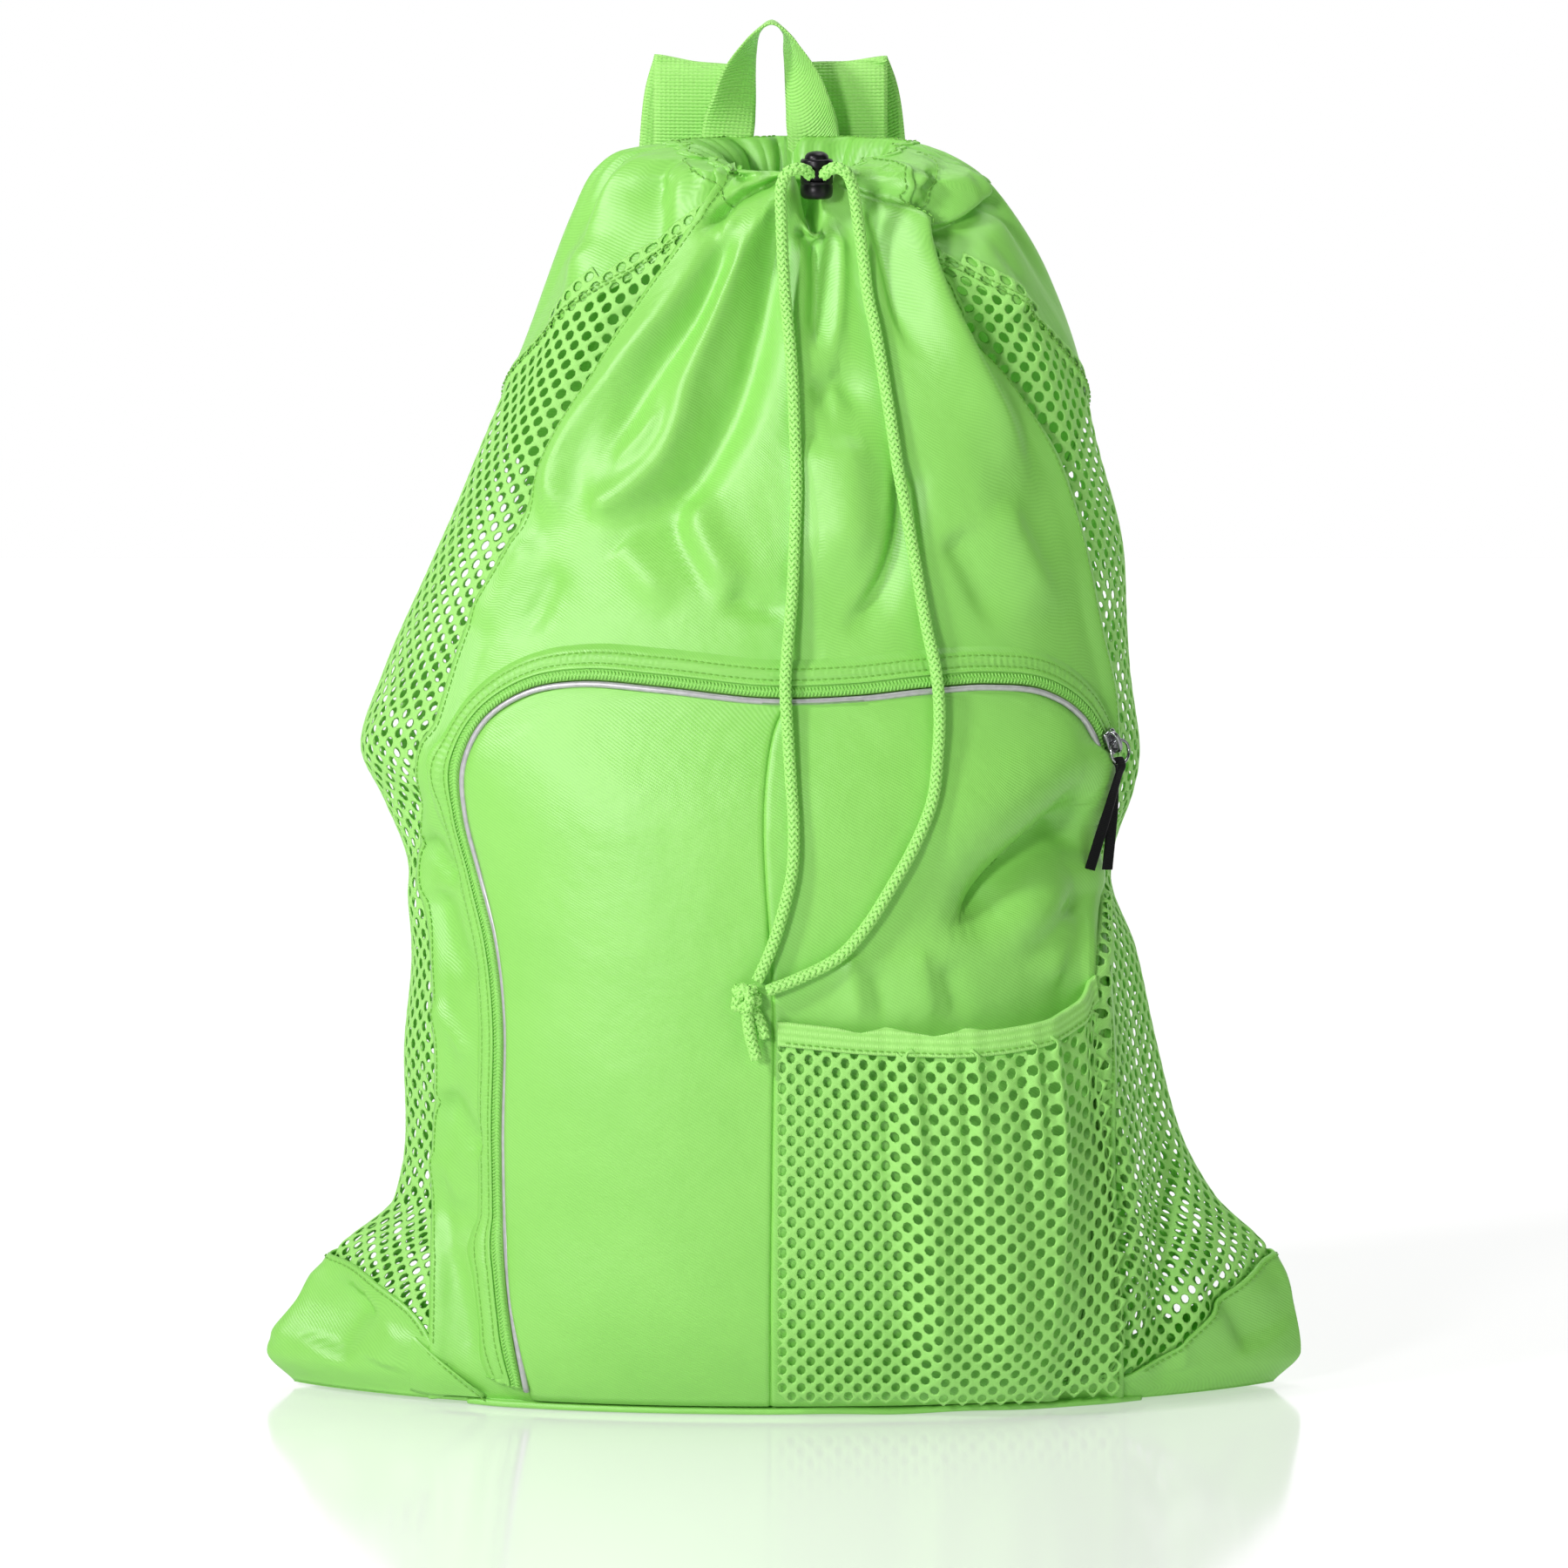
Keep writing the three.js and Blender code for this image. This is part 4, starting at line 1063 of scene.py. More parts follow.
def makeHem():
    angle = 180 + np.degrees(around(steps(hemLook["columns"])))
    share = np.linspace(0, 1, steps(hemLook["rows"]))[:, None]
    points = shell(angle[None], mix(hemStart - hemLook["lap"], hemEnd, share))
    lift = hemLook["lift"] + hemLook["swell"] * np.sin(np.pi * np.clip(share * 1.15, 0, 1)) ** 0.7
    return makePiece("hem", clothParts(points, hemLook["thick"], lift, True), twill, "hem_channel")


makeHem()


# The flat base, and the piped seam along its front
baseLook = {
    "columns": 160,
    "rows": 16,
    "thick": 2.0,
    "start": -152,
    "end": 172,
    "seam": 1.7,
    "out": 1.6,
    "sink": 2.6,
}


def makeBase():
    look = baseLook
    rim = shell(np.degrees(around(steps(look["columns"]))), 0.0)
    points = rim[None] * np.linspace(0.02, 1, steps(look["rows"]))[:, None, None]
    points[..., 2] = look["thick"]
    x = np.linspace(look["start"], look["end"], steps(200))
    ends = bell((x - look["start"]) / 10) + bell((x - look["end"]) / 10)
    edge = skin(angleAt(x, 0 * x), 0.0, look["out"] - look["sink"] * ends)
    edge[:, 2] = look["thick"] + 0.2 + 0.4 * np.sin(x * 0.09) * bell((x - 70) / 60)
    shapes = [clothParts(points, look["thick"], 0, True), tubeParts(edge, look["seam"], 10)]
    return makePiece("base", joinParts(shapes), twill, "bottom_panel")


makeBase()
print("cloth panels made")

# Nets: rows of oval holes, each row set half a hole along from the last
netLook = {"across": 9.4, "up": 4.9, "wide": 2.1, "tall": 2.45, "thick": 1.1, "lip": 1.28}
weldShare = 40  # points that agree to this share of a millimetre are one


# A net of diamond cells, each with a round-lipped hole
def netParts(cells, surface, look):
    across, up = look["across"], look["up"]
    corners = np.array([(across / 2, 0), (0, up), (-across / 2, 0), (0, -up), (across / 2, 0)])
    outline = np.concatenate([mix(corners[k], corners[k + 1], np.array([[0], [1 / 2]])) for k in range(4)])
    count = len(outline)
    hole = circle(around(count)) * (look["wide"], look["tall"])
    every = (cells[:, None] + outline[None]).reshape(-1, 2)
    unique, index = np.unique(np.round(every * weldShare).astype(int), axis=0, return_inverse=True)
    index = index.reshape(-1, count)
    rim = np.zeros((len(unique), 2))
    rim[index.ravel()] = every
    inner = (cells[:, None] + hole[None]).reshape(-1, 2)
    lip = (cells[:, None] + hole[None] * netLook["lip"]).reshape(-1, 2)
    (rimAt, rimOut), (lipAt, lipOut) = surface(rim), surface(lip)
    rimOut, lipOut = rimOut * netLook["thick"] / 2, lipOut * netLook["thick"] * 0.45
    points = np.concatenate([rimAt + rimOut, rimAt - rimOut, surface(inner)[0], lipAt + lipOut])
    size = len(unique)
    mouth = np.arange(len(inner)).reshape(-1, count) + 2 * size
    ring = mouth + len(inner)
    nextRim, nextMouth, nextRing = (np.roll(v, -1, axis=1) for v in (index, mouth, ring))
    front = np.stack([index, nextRim, nextRing, ring], axis=-1).reshape(-1, 4)
    throat = np.stack([ring, nextRing, nextMouth, mouth], axis=-1).reshape(-1, 4)
    back = np.stack([nextRim + size, index + size, mouth, nextMouth], axis=-1).reshape(-1, 4)
    # An edge that only one cell has is on the net's rim, which a wall closes
    edges = np.stack([index, nextRim], axis=-1).reshape(-1, 2)
    order = np.sort(edges, axis=1)
    key = order[:, 0] * size + order[:, 1]
    values, counts = np.unique(key, return_counts=True)
    loose = edges[np.isin(key, values[counts == 1])]
    wall = np.stack([loose[:, 1], loose[:, 0], loose[:, 0] + size, loose[:, 1] + size], axis=1)
    faces = np.concatenate([front, throat, back, wall])
    corner = points[front[:, :3]]
    facing = np.cross(corner[:, 1] - corner[:, 0], corner[:, 2] - corner[:, 0])
    if (facing * rimOut[front[:, 0]]).sum() < 0:
        faces = faces[:, ::-1]
    return points, faces, np.concatenate([rim, rim, inner, lip])


def holeCells(left, right, low, high, across, up):
    rows = np.arange(math.floor(low / up), math.ceil(high / up) + 1)
    columns = np.arange(math.floor(left / across) - 1, math.ceil(right / across) + 2)
    i, j = np.meshgrid(columns, rows)
    return np.stack([(i + 0.5 * (j % 2)) * across, j * up], axis=-1).reshape(-1, 2)


# How the right net rolls forward over the front's edge: distance past the seam, and height over it
netRoll = Curve([(0, 1), (4, 5.5), (8, 7.2), (12, 6.4), (14.5, 3.8), (13, 1.6), (9, 1.4), (5, 1.4)])
netRollRun = 30.0

# How far the net goes under its neighbours, and how it lies beside them
sideNetLook = {
    "under": 6.0,
    "foot": 4.0,
    "strip": 11.0,
    "rollLap": 24,
    "seamSink": 2.4,
    "footSink": 2.0,
    "yokeRise": 1.3,
    "hollow": 5.0,
    "foldShift": (2.6, 3.4),
    "foldDepth": 6.0,
    "halfWide": 240,
    "top": 606,
    "reach": 340,
    "step": 2.0,
}


# A side's net is laid out flat: its run from the side's point, and its climb along that point
def makeSideNet(word, side):
    look = sideNetLook
    levels, angles = np.linspace(0, look["top"], 160), np.linspace(0, 180, 181)
    spread = shell(side * angles[None], levels[:, None])
    arc = np.stack([runOf(row) for row in spread])
    arc -= arc[:, 90:91]
    climb = runOf(spread[:, 90])
    marks = np.arange(-look["reach"], look["reach"] + 1, look["step"])
    turned = np.stack([np.interp(marks, row, angles) for row in arc])
    rows = np.linspace(0, hemRow, 240)
    fronts, backs = stations.at("front", rows), stations.at("back", rows)
    frontAngle, backAngle = seamAngles(side, rows)
    frontArc = np.array([np.interp(np.interp(v, fronts, frontAngle), angles, a) for v, a in zip(levels, arc)])
    backArc = np.array([np.interp(np.interp(v, backs, backAngle), angles, a) for v, a in zip(levels, arc)])
    shares = np.linspace(0, 1, 200)
    low, high = sidePlace(side, cornerRow, shares), sidePlace(side, yokeEdge[side], shares)

    def angleOf(run, level):
        row = level / look["top"] * (len(levels) - 1)
        return readGrid(turned, row, (run + look["reach"]) / look["step"])

    def measures(flat):
        level = np.interp(flat[:, 1], climb, levels)
        front = flat[:, 0] - np.interp(level, levels, frontArc)
        back = np.interp(level, levels, backArc) - flat[:, 0]
        angle = angleOf(flat[:, 0], level)
        under = level - np.interp(angle, np.abs(low[0]), low[1])
        over = np.interp(angle, np.abs(high[0]), high[1]) - level
        rolled = ramp(level, 270, 240) * ramp(level, 4, 34) if side > 0 else 0 * level
        return level, front, back, under, over, rolled

    def surface(flat, behind=0.0):
        level, front, back, under, over, rolled = measures(flat)
        past = np.maximum(-front, 0)
        roll = netRoll.at(past / netRollRun)
        lean = 1 - 1.3 * ramp(level, 200, 50)
        shift = mix(past, roll[:, 0] * lean, rolled)
        run = np.where(front < 0, flat[:, 0] + past - shift, flat[:, 0])
        angle = side * angleOf(run, level)
        seam = -look["seamSink"] * ramp(np.minimum(front, back), 3, -1)
        seam = mix(seam, np.where(front < 3, roll[:, 1] * ramp(front, 3, 0), seam), rolled)
        lift = seam - look["footSink"] * ramp(under, 7, 1) + look["yokeRise"] * ramp(over, 3, -1) - behind
        # Above the pocket the net sinks beside the front
        lift = lift - look["hollow"] * bell((front - 7) / 8) * ramp(level, 400, 460) * ramp(over, 6, 22)
        normal = shellNormal(angle, level)
        return shell(angle, level) + normal * (lift - netLook["thick"] / 2)[:, None], normal

    def foldedSurface(flat):
        return surface(flat + look["foldShift"], look["foldDepth"])

    cells = holeCells(-look["halfWide"], look["halfWide"], 0, climb[-1], netLook["across"], netLook["up"])
    level, front, back, under, over, rolled = measures(cells)
    inside = (front > -look["under"] - look["rollLap"] * rolled) & (back > -look["under"])
    inside &= (under > -look["foot"]) & (over > -look["strip"])
    parts = [netParts(cells[inside], surface, netLook)]
    if side > 0:
        # The right net is folded double beside the front
        folded = (front > 2) & (front < 30) & (level > 14) & (level < 330) & (under > 4)
        parts.append(netParts(cells[folded], foldedSurface, netLook))
    print("net", word, inside.sum(), "holes")
    return makePiece("net" + word.title(), joinParts(parts), net, "side_mesh_" + word)


for word, side in sideOf.items():
    makeSideNet(word, side)

# The zip pocket: two halves that meet at the centre seam
pocketLook = {"columns": 84, "rows": 140, "inset": 1.2, "tuck": 0.8, "over": 6.0, "bulge": 4.5, "flat": 1.2}
broadSlope = 10  # for what stands well off the shell


def makePocketHalf(word, start, end):
    up, share = lattice(steps(pocketLook["rows"]), steps(pocketLook["columns"]))
    angle, level = pocketPlace(mix(start, end, share), up, pocketLook["inset"])
    lift = layerGap + cloth + pocketPuff(angle, level)
    points = skin(angle, level, lift, broadSlope)
    run = gridLengths(points)[..., 0]
    fromLeft, fromRight = run - run[:, :1], run[:, -1:] - run
    fromRim, fromSeam = (fromLeft, fromRight) if word == "left" else (fromRight, fromLeft)
    tuck = -pocketLook["tuck"] * (ramp(fromSeam, 1.2, 0) + ramp(fromRim, 4, 0) + ramp(up, 1 - 1 / 90, 1))
    if word == "right":
        # Below the slider the cloth bulges over the piping, but less under the net pocket
        over = ramp(level, 324, 310) * ramp(fromRim, 14, 4)
        angle = angleAt(placeX(angle, level) + pocketLook["over"] * over, level)
        points = skin(angle, level, lift, broadSlope)
        tuck = tuck + mix(pocketLook["flat"], pocketLook["bulge"], ramp(level, 190, 210)) * over
    return makePiece("pocket" + word.title(), clothParts(points, cloth, tuck), twill, "pocket_panel_" + word)


makePocketHalf("left", 0, centreSeam)
makePocketHalf("right", centreSeam, 1)


# Piping and zipper round the pocket's edge
pipingLook = {"rows": 360, "sides": 10, "sunk": 2.6}


def makePiping():
    t = np.linspace(edgeStart, edgeEnd, steps(pipingLook["rows"]))
    turn = around(pipingLook["sides"])
    angle, level = edgePlace(t[:, None], pipingRadius * np.cos(turn)[None])
    # Under the net pocket the piping lies deep in its seam
    sunk = pipingLook["sunk"] * ramp(level, 204, 188) * ramp(t[:, None], 0.6, 0.65)
    points = skin(angle, level, pipingRadius + layerGap - sunk + pipingRadius * np.sin(turn)[None])
    faces = [face[::-1] for face in tubeFaces(*points.shape[:2])]
    uv = np.stack(np.broadcast_arrays(turn[None], t[:, None] * 1000), axis=-1)
    return makePiece("pipingTrim", (points.reshape(-1, 3), faces, uv.reshape(-1, 2)), silver, "piping")


# Two rows of teeth, each with its offset from the coil's middle and its lean
zipperLook = {
    "near": 1.9,
    "coil": 4.6,
    "rise": 1.5,
    "tooth": 1.7,
    "toothSize": (2.6, 1.0, 1.1),
    "thick": 0.8,
    "rows": [(-1.15, 0.5), (1.15, -0.5)],
}


def makeZipper():
    t = np.linspace(edgeStart, edgeEnd, steps(420))
    share = np.linspace(0, 1, 15)
    offset = zipperLook["near"] + share * (zipperWidth + 0.6)
    hump = zipperLook["rise"] * bell((offset - zipperLook["coil"]) / 2.2)
    angle, level = edgePlace(t[:, None], offset[None])
    lift = layerGap + zipperLook["thick"]
    parts = [clothParts(skin(angle, level, lift + hump[None])[:, ::-1], zipperLook["thick"])]
    form, faces = bead(*zipperLook["toothSize"])
    lift += zipperLook["rise"]
    fine = np.linspace(edgeStart, edgeEnd, 1600)
    for shift, lean in zipperLook["rows"]:
        line = skin(*edgePlace(fine, zipperLook["coil"] + shift), lift)
        run = runOf(line)
        marks = np.arange(2, run[-1] - 2, zipperLook["tooth"])
        here = edgePlace(np.interp(marks, run, fine), zipperLook["coil"] + shift)
        out = shellNormal(*here)
        at = shell(*here) + out * (lift - 0.1)
        along = unit(readAt(marks, run, np.gradient(line, axis=0)))
        axis = unit(unit(np.cross(out, along)) + along * lean)
        parts.append(scatterParts(form, faces, at, axis, np.cross(out, axis), out))
    return makePiece("zipperTape", joinParts(parts), tape, "zipper")


makePiping()
makeZipper()

# The net pocket and its elastic binding over the right half of the zip pocket
netTop = Table("across level out", [
    [0, 196, 0.6],
    [0.33, 191.5, 4],
    [0.55, 190.5, 12],
    [0.755, 193, 14],
    [0.893, 200.5, 8],
    [1, 210, 0.6],
])
netRight = Table("level x", [[4, 160], [60, 160], [130, 156], [190, 148], [228, 142]])
netOut = Table("across out", [
    [0, 0.4], [0.29, 1.2], [0.35, 4], [0.4, 10], [0.56, 12],
    [0.71, 14], [0.83, 13], [0.88, 7], [0.94, 2.5], [1, 1.2],
])
netLeft, netFoot, netClear = -3.0, 7, 1.4
pocketNetLook = {"across": 9.4, "up": 4.8, "wide": 2.05, "tall": 2.4, "width": 172.0, "height": 176.0}


def pocketNetPlace(across, level):
    return angleAt(mix(netLeft, netRight.at("x", level), across), level)


# How the net hangs: the slant of its folds at each side, its gathers' heights and the lift at its right edge
hangLook = {"slant": (-0.07, 0.09), "fine": 1.5, "finest": 1.1, "broad": 1.3, "edge": 1.3}


def pocketNetLift(across, level, gathered=1.0):
    look = hangLook
    up = (level - netFoot) / (netTop.at("level", across) - netFoot)
    slant = mix(*look["slant"], ramp(across, 0.47, 0.77)) * (1 - up)
    hang = netOut.at("out", np.clip(across + slant, 0, 1)) * ease(up * 3 + 0.35)
    hang = mix(hang, netTop.at("out", across), ramp(up, 0.7, 0.92))
    fine = look["fine"] * np.sin(across * 71 + 2 * np.sin(across * 9)) + look["finest"] * np.sin(across * 113)
    broad = look["broad"] * np.sin(across * 31 + up * 3)
    gather = fine * ramp(up, 0.4, 0.8) + broad * ramp(up, 0, 0.25)
    ends = ease((across - 0.25) * 9) * ramp(across, 1, 0.875)
    base = layerGap + cloth + netWall + netClear + pocketPuff(pocketNetPlace(across, level), level)
    return base + look["edge"] * ease((across - 0.84) * 12) + hang + gather * ends * gathered


def makePocketNet():
    look = pocketNetLook
    width, tall = look["width"], look["height"]

    def surface(flat):
        share = np.clip(flat[:, 0] / width, 0, 1)
        top = netTop.at("level", share) - bindingTall + 3
        level = netFoot + flat[:, 1] / tall * (top - netFoot)
        angle = pocketNetPlace(share, level)
        normal = shellNormal(angle, level, broadSlope)
        lift = pocketNetLift(share, level) - netLook["thick"] / 2
        return shell(angle, level) + normal * lift[:, None], normal

    cells = holeCells(0, width, 0, tall, look["across"], look["up"])
    cells[:, 0] += look["across"] / 4
    inside = (cells[:, 0] > 2) & (cells[:, 0] < width - 2) & (cells[:, 1] > 1) & (cells[:, 1] < tall)
    print("net pocket", inside.sum(), "holes")
    return makePiece("pocketNet", netParts(cells[inside], surface, look), net, "mesh_pocket")


bindingLook = {"thick": 2.2, "lift": 0.9, "swell": 0.35, "gathered": 0.12}


def makeBinding():
    up, across = lattice(10, steps(220))
    level = netTop.at("level", across) - bindingTall * (1 - up)
    angle = pocketNetPlace(across, level)
    lift = pocketNetLift(across, level, bindingLook["gathered"]) + bindingLook["lift"]
    swell = bindingLook["swell"] * np.sin(np.pi * up)
    parts = clothParts(skin(angle, level, lift, broadSlope), bindingLook["thick"], swell)
    return makePiece("binding", parts, elastic, "pocket_binding")


makePocketNet()
makeBinding()
print("pocket made")


# Webbing: a flat band along a route, given its middle and the direction across it
def bandParts(middle, across, count, columns, width, thick):
    t = np.linspace(0, 1, count + 1)
    at = Curve(middle).at(t)
    along = unit(np.gradient(at, axis=0))
    side = Curve(across).at(t)
    side = unit(side - along * (side * along).sum(1, keepdims=True))
    out = np.cross(side, along)
    spread = np.linspace(-1, 1, columns + 1)
    bulge = thick / 2 * (1 - 0.7 * np.abs(spread) ** 8)
    base = at[:, None] + side[:, None] * (spread * width / 2)[None, :, None]
    raised = out[:, None] * bulge[None, :, None]
    points, faces, uv = layerParts(base + raised, base - raised, gridLengths(base + raised))
    return points, faces[:, ::-1], uv


# The straps' route: Y, Z, share of the way out to the foot, and share of the tilt at the top
strapRun = [
    (58, 572, 0, 0), (54.6, 590, 0, 0), (51, 606, 0, 0), (49, 622, 0, 0.3), (49.6, 634, 0, 0.8),
    (53, 639, 0, 1), (57, 635, 0.02, 0.8), (60.5, 622, 0.09, 0.3), (68, 590, 0.15, 0), (79, 530, 0.22, 0),
    (93, 450, 0.35, 0), (106, 360, 0.5, 0), (120.1, 270, 0.66, 0), (118.6, 190, 0.8, 0), (104, 110, 0.92, 0),
    (90, 45, 1, 0), (77, 12, 1, 0),
]
strapLook = {"topX": 37.5, "footX": 96, "shift": 6.5, "turn": 0.05, "left": -0.16, "right": 0.08}

# The grab loop's route: X, Y, Z and the twist of the webbing in degrees
loopRun = [
    (-27.6, 38.4, 594, 0), (-27, 38.4, 606, 2), (-24.6, 38.6, 619, 28), (-21.8, 38.2, 634, 48),
    (-18, 37.4, 645, 66), (-12.6, 36.8, 655, 84), (-5.8, 36.4, 659.3, 90), (1, 36.8, 654, 97),
    (4.6, 37.4, 645, 114), (8.4, 38.2, 634, 132), (11.8, 38.6, 619, 152), (14, 38.4, 606, 178),
    (14.6, 38.4, 594, 180),
]


def makeStrap(word, side):
    middle, across = [], []
    for y, z, slope, tilt in strapRun:
        x = side * mix(strapLook["topX"], strapLook["footX"], slope) - strapLook["shift"] * (1 - slope)
        middle.append((x, y, z))
        across.append((1, side * strapLook["turn"], strapLook[word] * tilt))
    parts = bandParts(middle, across, steps(240), 16, strapWidth, webbing)
    return makePiece("strap" + word.title(), parts, strapping, "shoulder_strap_" + word)


def makeGrabLoop():
    turns = [math.radians(spot[3]) for spot in loopRun]
    across = [(math.cos(turn), math.sin(turn), 0) for turn in turns]
    parts = bandParts([spot[:3] for spot in loopRun], across, steps(120), 14, loopWidth, webbing)
    return makePiece("grabLoop", parts, strapping, "grab_loop")


for word, side in sideOf.items():
    makeStrap(word, side)
makeGrabLoop()
print("webbing made")


# Turned forms for the cord lock
def latheParts(profile, sides, at):
    profile = np.array(profile, float)
    turn = around(sides)
    rings = profile[:, None, :1] * circle(turn)[None]
    points = np.concatenate([rings, np.broadcast_to(profile[:, None, 1:], (len(profile), sides, 1))], axis=2)
    uv = np.stack(np.broadcast_arrays(turn[None] * 5, profile[:, 1:]), axis=-1)
    return points.reshape(-1, 3) + at, tubeFaces(len(profile), sides), uv.reshape(-1, 2)


# Profiles are radius and height about the lock's middle. Two posts join the cup to the ring over it.
lockLook = {
    "sides": 48,
    "sharp": 40,
    "cup": [
        (0.4, -11.6), (5, -11.6), (6.2, -11.3), (7.1, -10.5), (7.6, -9.4), (7.75, -8.2), (7.75, -5),
        (7.5, -4.7), (7.5, -4.2), (7.75, -3.9), (7.75, -3.4), (6.4, -3.4), (6.4, -8.6), (0.4, -8.6),
    ],
    "ring": [
        (6.4, 3.4), (7.75, 3.4), (7.75, 6.2), (7.6, 6.9), (7.2, 7.3), (6.6, 7.4), (6.3, 7.1), (6.3, 3.5),
        (6.4, 3.4),
    ],
    "post": [(7.75, -3.5), (7.75, 3.5), (6.35, 3.5), (6.35, -3.5)],
    "postTurns": (0, 180),
    "postHalf": 62,
    "button": [
        (0.4, -4.2), (5.5, -4.2), (5.9, -3.7), (5.9, 6.4), (5.75, 7.9), (5.5, 8.9), (4.8, 9.9), (3.6, 10.6),
        (2.2, 11), (0.4, 11.2),
    ],
}


def postParts(middle):
    turn = np.radians(np.linspace(middle - lockLook["postHalf"], middle + lockLook["postHalf"], 17))
    corners = []
    for reach, z in lockLook["post"]:
        corners.append(np.column_stack([circle(turn) * reach, np.full(len(turn), z)]))
    points = np.stack(corners, axis=1).reshape(-1, 3)
    return points + lockAt, tubeFaces(len(turn), len(corners)), points[:, :2]


def makeLock():
    sides = lockLook["sides"]
    # The ring's profile closes on itself, so its two end faces are left off
    points, faces, uv = latheParts(lockLook["ring"], sides, lockAt)
    shapes = [latheParts(lockLook["cup"], sides, lockAt), (points, faces[:-2], uv)]
    shapes += [postParts(middle) for middle in lockLook["postTurns"]]
    barrel = makePiece("lockBarrel", joinParts(shapes), plastic, "lock_barrel")
    plug = latheParts(lockLook["button"], sides, lockAt)
    button = makePiece("lockButton", plug, plastic, "lock_button", body="button")
    for piece in (barrel, button):
        piece.data.set_sharp_from_angle(angle=math.radians(lockLook["sharp"]))


makeLock()

# The zipper's slider at the pocket's upper right corner, its bail and the ribbon through it
sliderLook = {
    "edge": 17.75,  # place along the pocket's edge
    "stand": 3.2,
    "wide": 8.4,
    "long": 12,
    "thick": 3,
    "rim": 0.7,
    "bridge": [(0, -5, 2.2), (0, -4.6, 4.6), (0, -2.6, 6.2), (0, 2.6, 6.2), (0, 4.6, 4.6), (0, 5, 2.2)],
    "bridgeRadius": 1.15,
    "sharp": 50,
}
bailLook = {"halfWide": 6.72, "halfLong": 5.46, "middle": 5.5, "rise": 4.3, "lean": 0.15, "radius": 0.75}


# The slider's middle, and its directions across, along and out of the zip
def sliderFrame():
    t, offset = sliderLook["edge"] / edgeCurve.count, pipingRadius + layerGap + zipperWidth / 2
    here, ahead = edgePlace(t, offset), edgePlace(t + 0.006, offset)
    up = shellNormal(*here)
    along = unit(shell(*ahead) - shell(*here))
    along = unit(along - up * along.dot(up))
    return shell(*here) + up * sliderLook["stand"], np.cross(along, up), along, up


def standOn(points):
    at, across, along, up = sliderFrame()
    return at + points[:, :1] * across + points[:, 1:2] * along + points[:, 2:] * up


# A rounded slab: a stack of rounded rectangles, drawn in at its top and bottom
def slabParts(wide, long, high, rim, sides=32):
    box = circle(around(sides))
    box = np.sign(box) * np.abs(box) ** 0.35
    layers = [(0, rim), (rim * 0.3, rim * 0.3), (rim, 0)]
    layers += [(high - z, inset) for z, inset in layers[::-1]]
    rings = []
    for z, inset in layers:
        size = np.array([wide / 2 - inset, long / 2 - inset])
        rings.append(np.column_stack([box * size, np.full(sides, z)]))
    points = np.concatenate(rings)
    return points, tubeFaces(len(layers), sides), points[:, :2]


def makeSlider():
    body = slabParts(sliderLook["wide"], sliderLook["long"], sliderLook["thick"], sliderLook["rim"])
    arch = tubeParts(Curve(sliderLook["bridge"]).spaced(0.6), sliderLook["bridgeRadius"], 12)
    shapes = [(standOn(points), faces, uv) for points, faces, uv in (body, arch)]
    slider = makePiece("slider", joinParts(shapes), metal, "zipper_slider")
    slider.data.set_sharp_from_angle(angle=math.radians(sliderLook["sharp"]))


def makeBail():
    turn = np.linspace(0, fullTurn, 49)
    along = bailLook["halfLong"] * np.sin(turn) + bailLook["middle"]
    flat, rise = along * math.cos(bailLook["lean"]), along * math.sin(bailLook["lean"]) + bailLook["rise"]
    loop = np.column_stack([bailLook["halfWide"] * np.cos(turn), flat, rise])
    makePiece("bail", tubeParts(standOn(loop), bailLook["radius"], 10), metal, "slider_bail")


makeSlider()
makeBail()

# The ribbon's route through the bail: X, Y, Z and its direction across in X and Y
ribbonRun = [
    (146, -56.4, 260, 0.9, 0.43), (150.5, -55.8, 275, 0.9, 0.43), (155.4, -55.8, 291, 0.8, 0.6),
    (159.4, -55.4, 305, 0.67, 0.74), (161.1, -54.8, 310, 0.67, 0.74), (159.6, -53.3, 313.4, 0.67, 0.74),
    (158.1, -51.9, 310, 0.67, 0.74), (158, -50.8, 304, 0.67, 0.74), (157.4, -50, 290, 0.8, 0.6),
    (156, -49.6, 275, 0.9, 0.43), (154.5, -49.2, 259, 0.9, 0.43),
]
ribbonThick = 0.9


def makeRibbon():
    middle, across = [spot[:3] for spot in ribbonRun], [(*spot[3:], 0) for spot in ribbonRun]
    parts = bandParts(middle, across, 160, 10, ribbonWidth, ribbonThick)
    return makePiece("ribbon", parts, black, "pull_ribbon")


makeRibbon()
print("hardware made")

# The stitched flap outside the zipper, and stitch rows joined into one piece.
# The flap's height falls in steps across it: the drop, and where in its width it starts and ends.
flapLook = {
    "near": 7.6,
    "far": 21.0,
    "height": 2.9,
    "falls": [(0.9, 0, 1 / 2.4), (2.0, 0.5, 0.8), (1.9, 0.72, 1)],
    "rows": (10.2, 15.4),
    "groove": 0.8,
    "middle": 12.8,
    "pucker": 0.3,
    "pitch": 3.2,
    "thick": 0.7,
}
stitchLook = {
    "length": 2.5,
    "wide": 0.85,
    "tall": 0.8,
    "pitch": 3.4,
    "seamLift": 1.4,
    "cornerLift": 1.7,
    "yokeLift": 1.5,
    "bindingLift": 1.3,
    "tabLift": 2.0,
    "hemLift": 1.6,
}

# Where the cord's sleeve is stitched down, in X and level
sleeveLines = [
    [(-52, 609), (-46, 603), (-38, 597), (-31, 586), (-27, 575)],
    [(58, 611), (66, 602), (70, 592), (70.5, 582), (68, 572)],
]


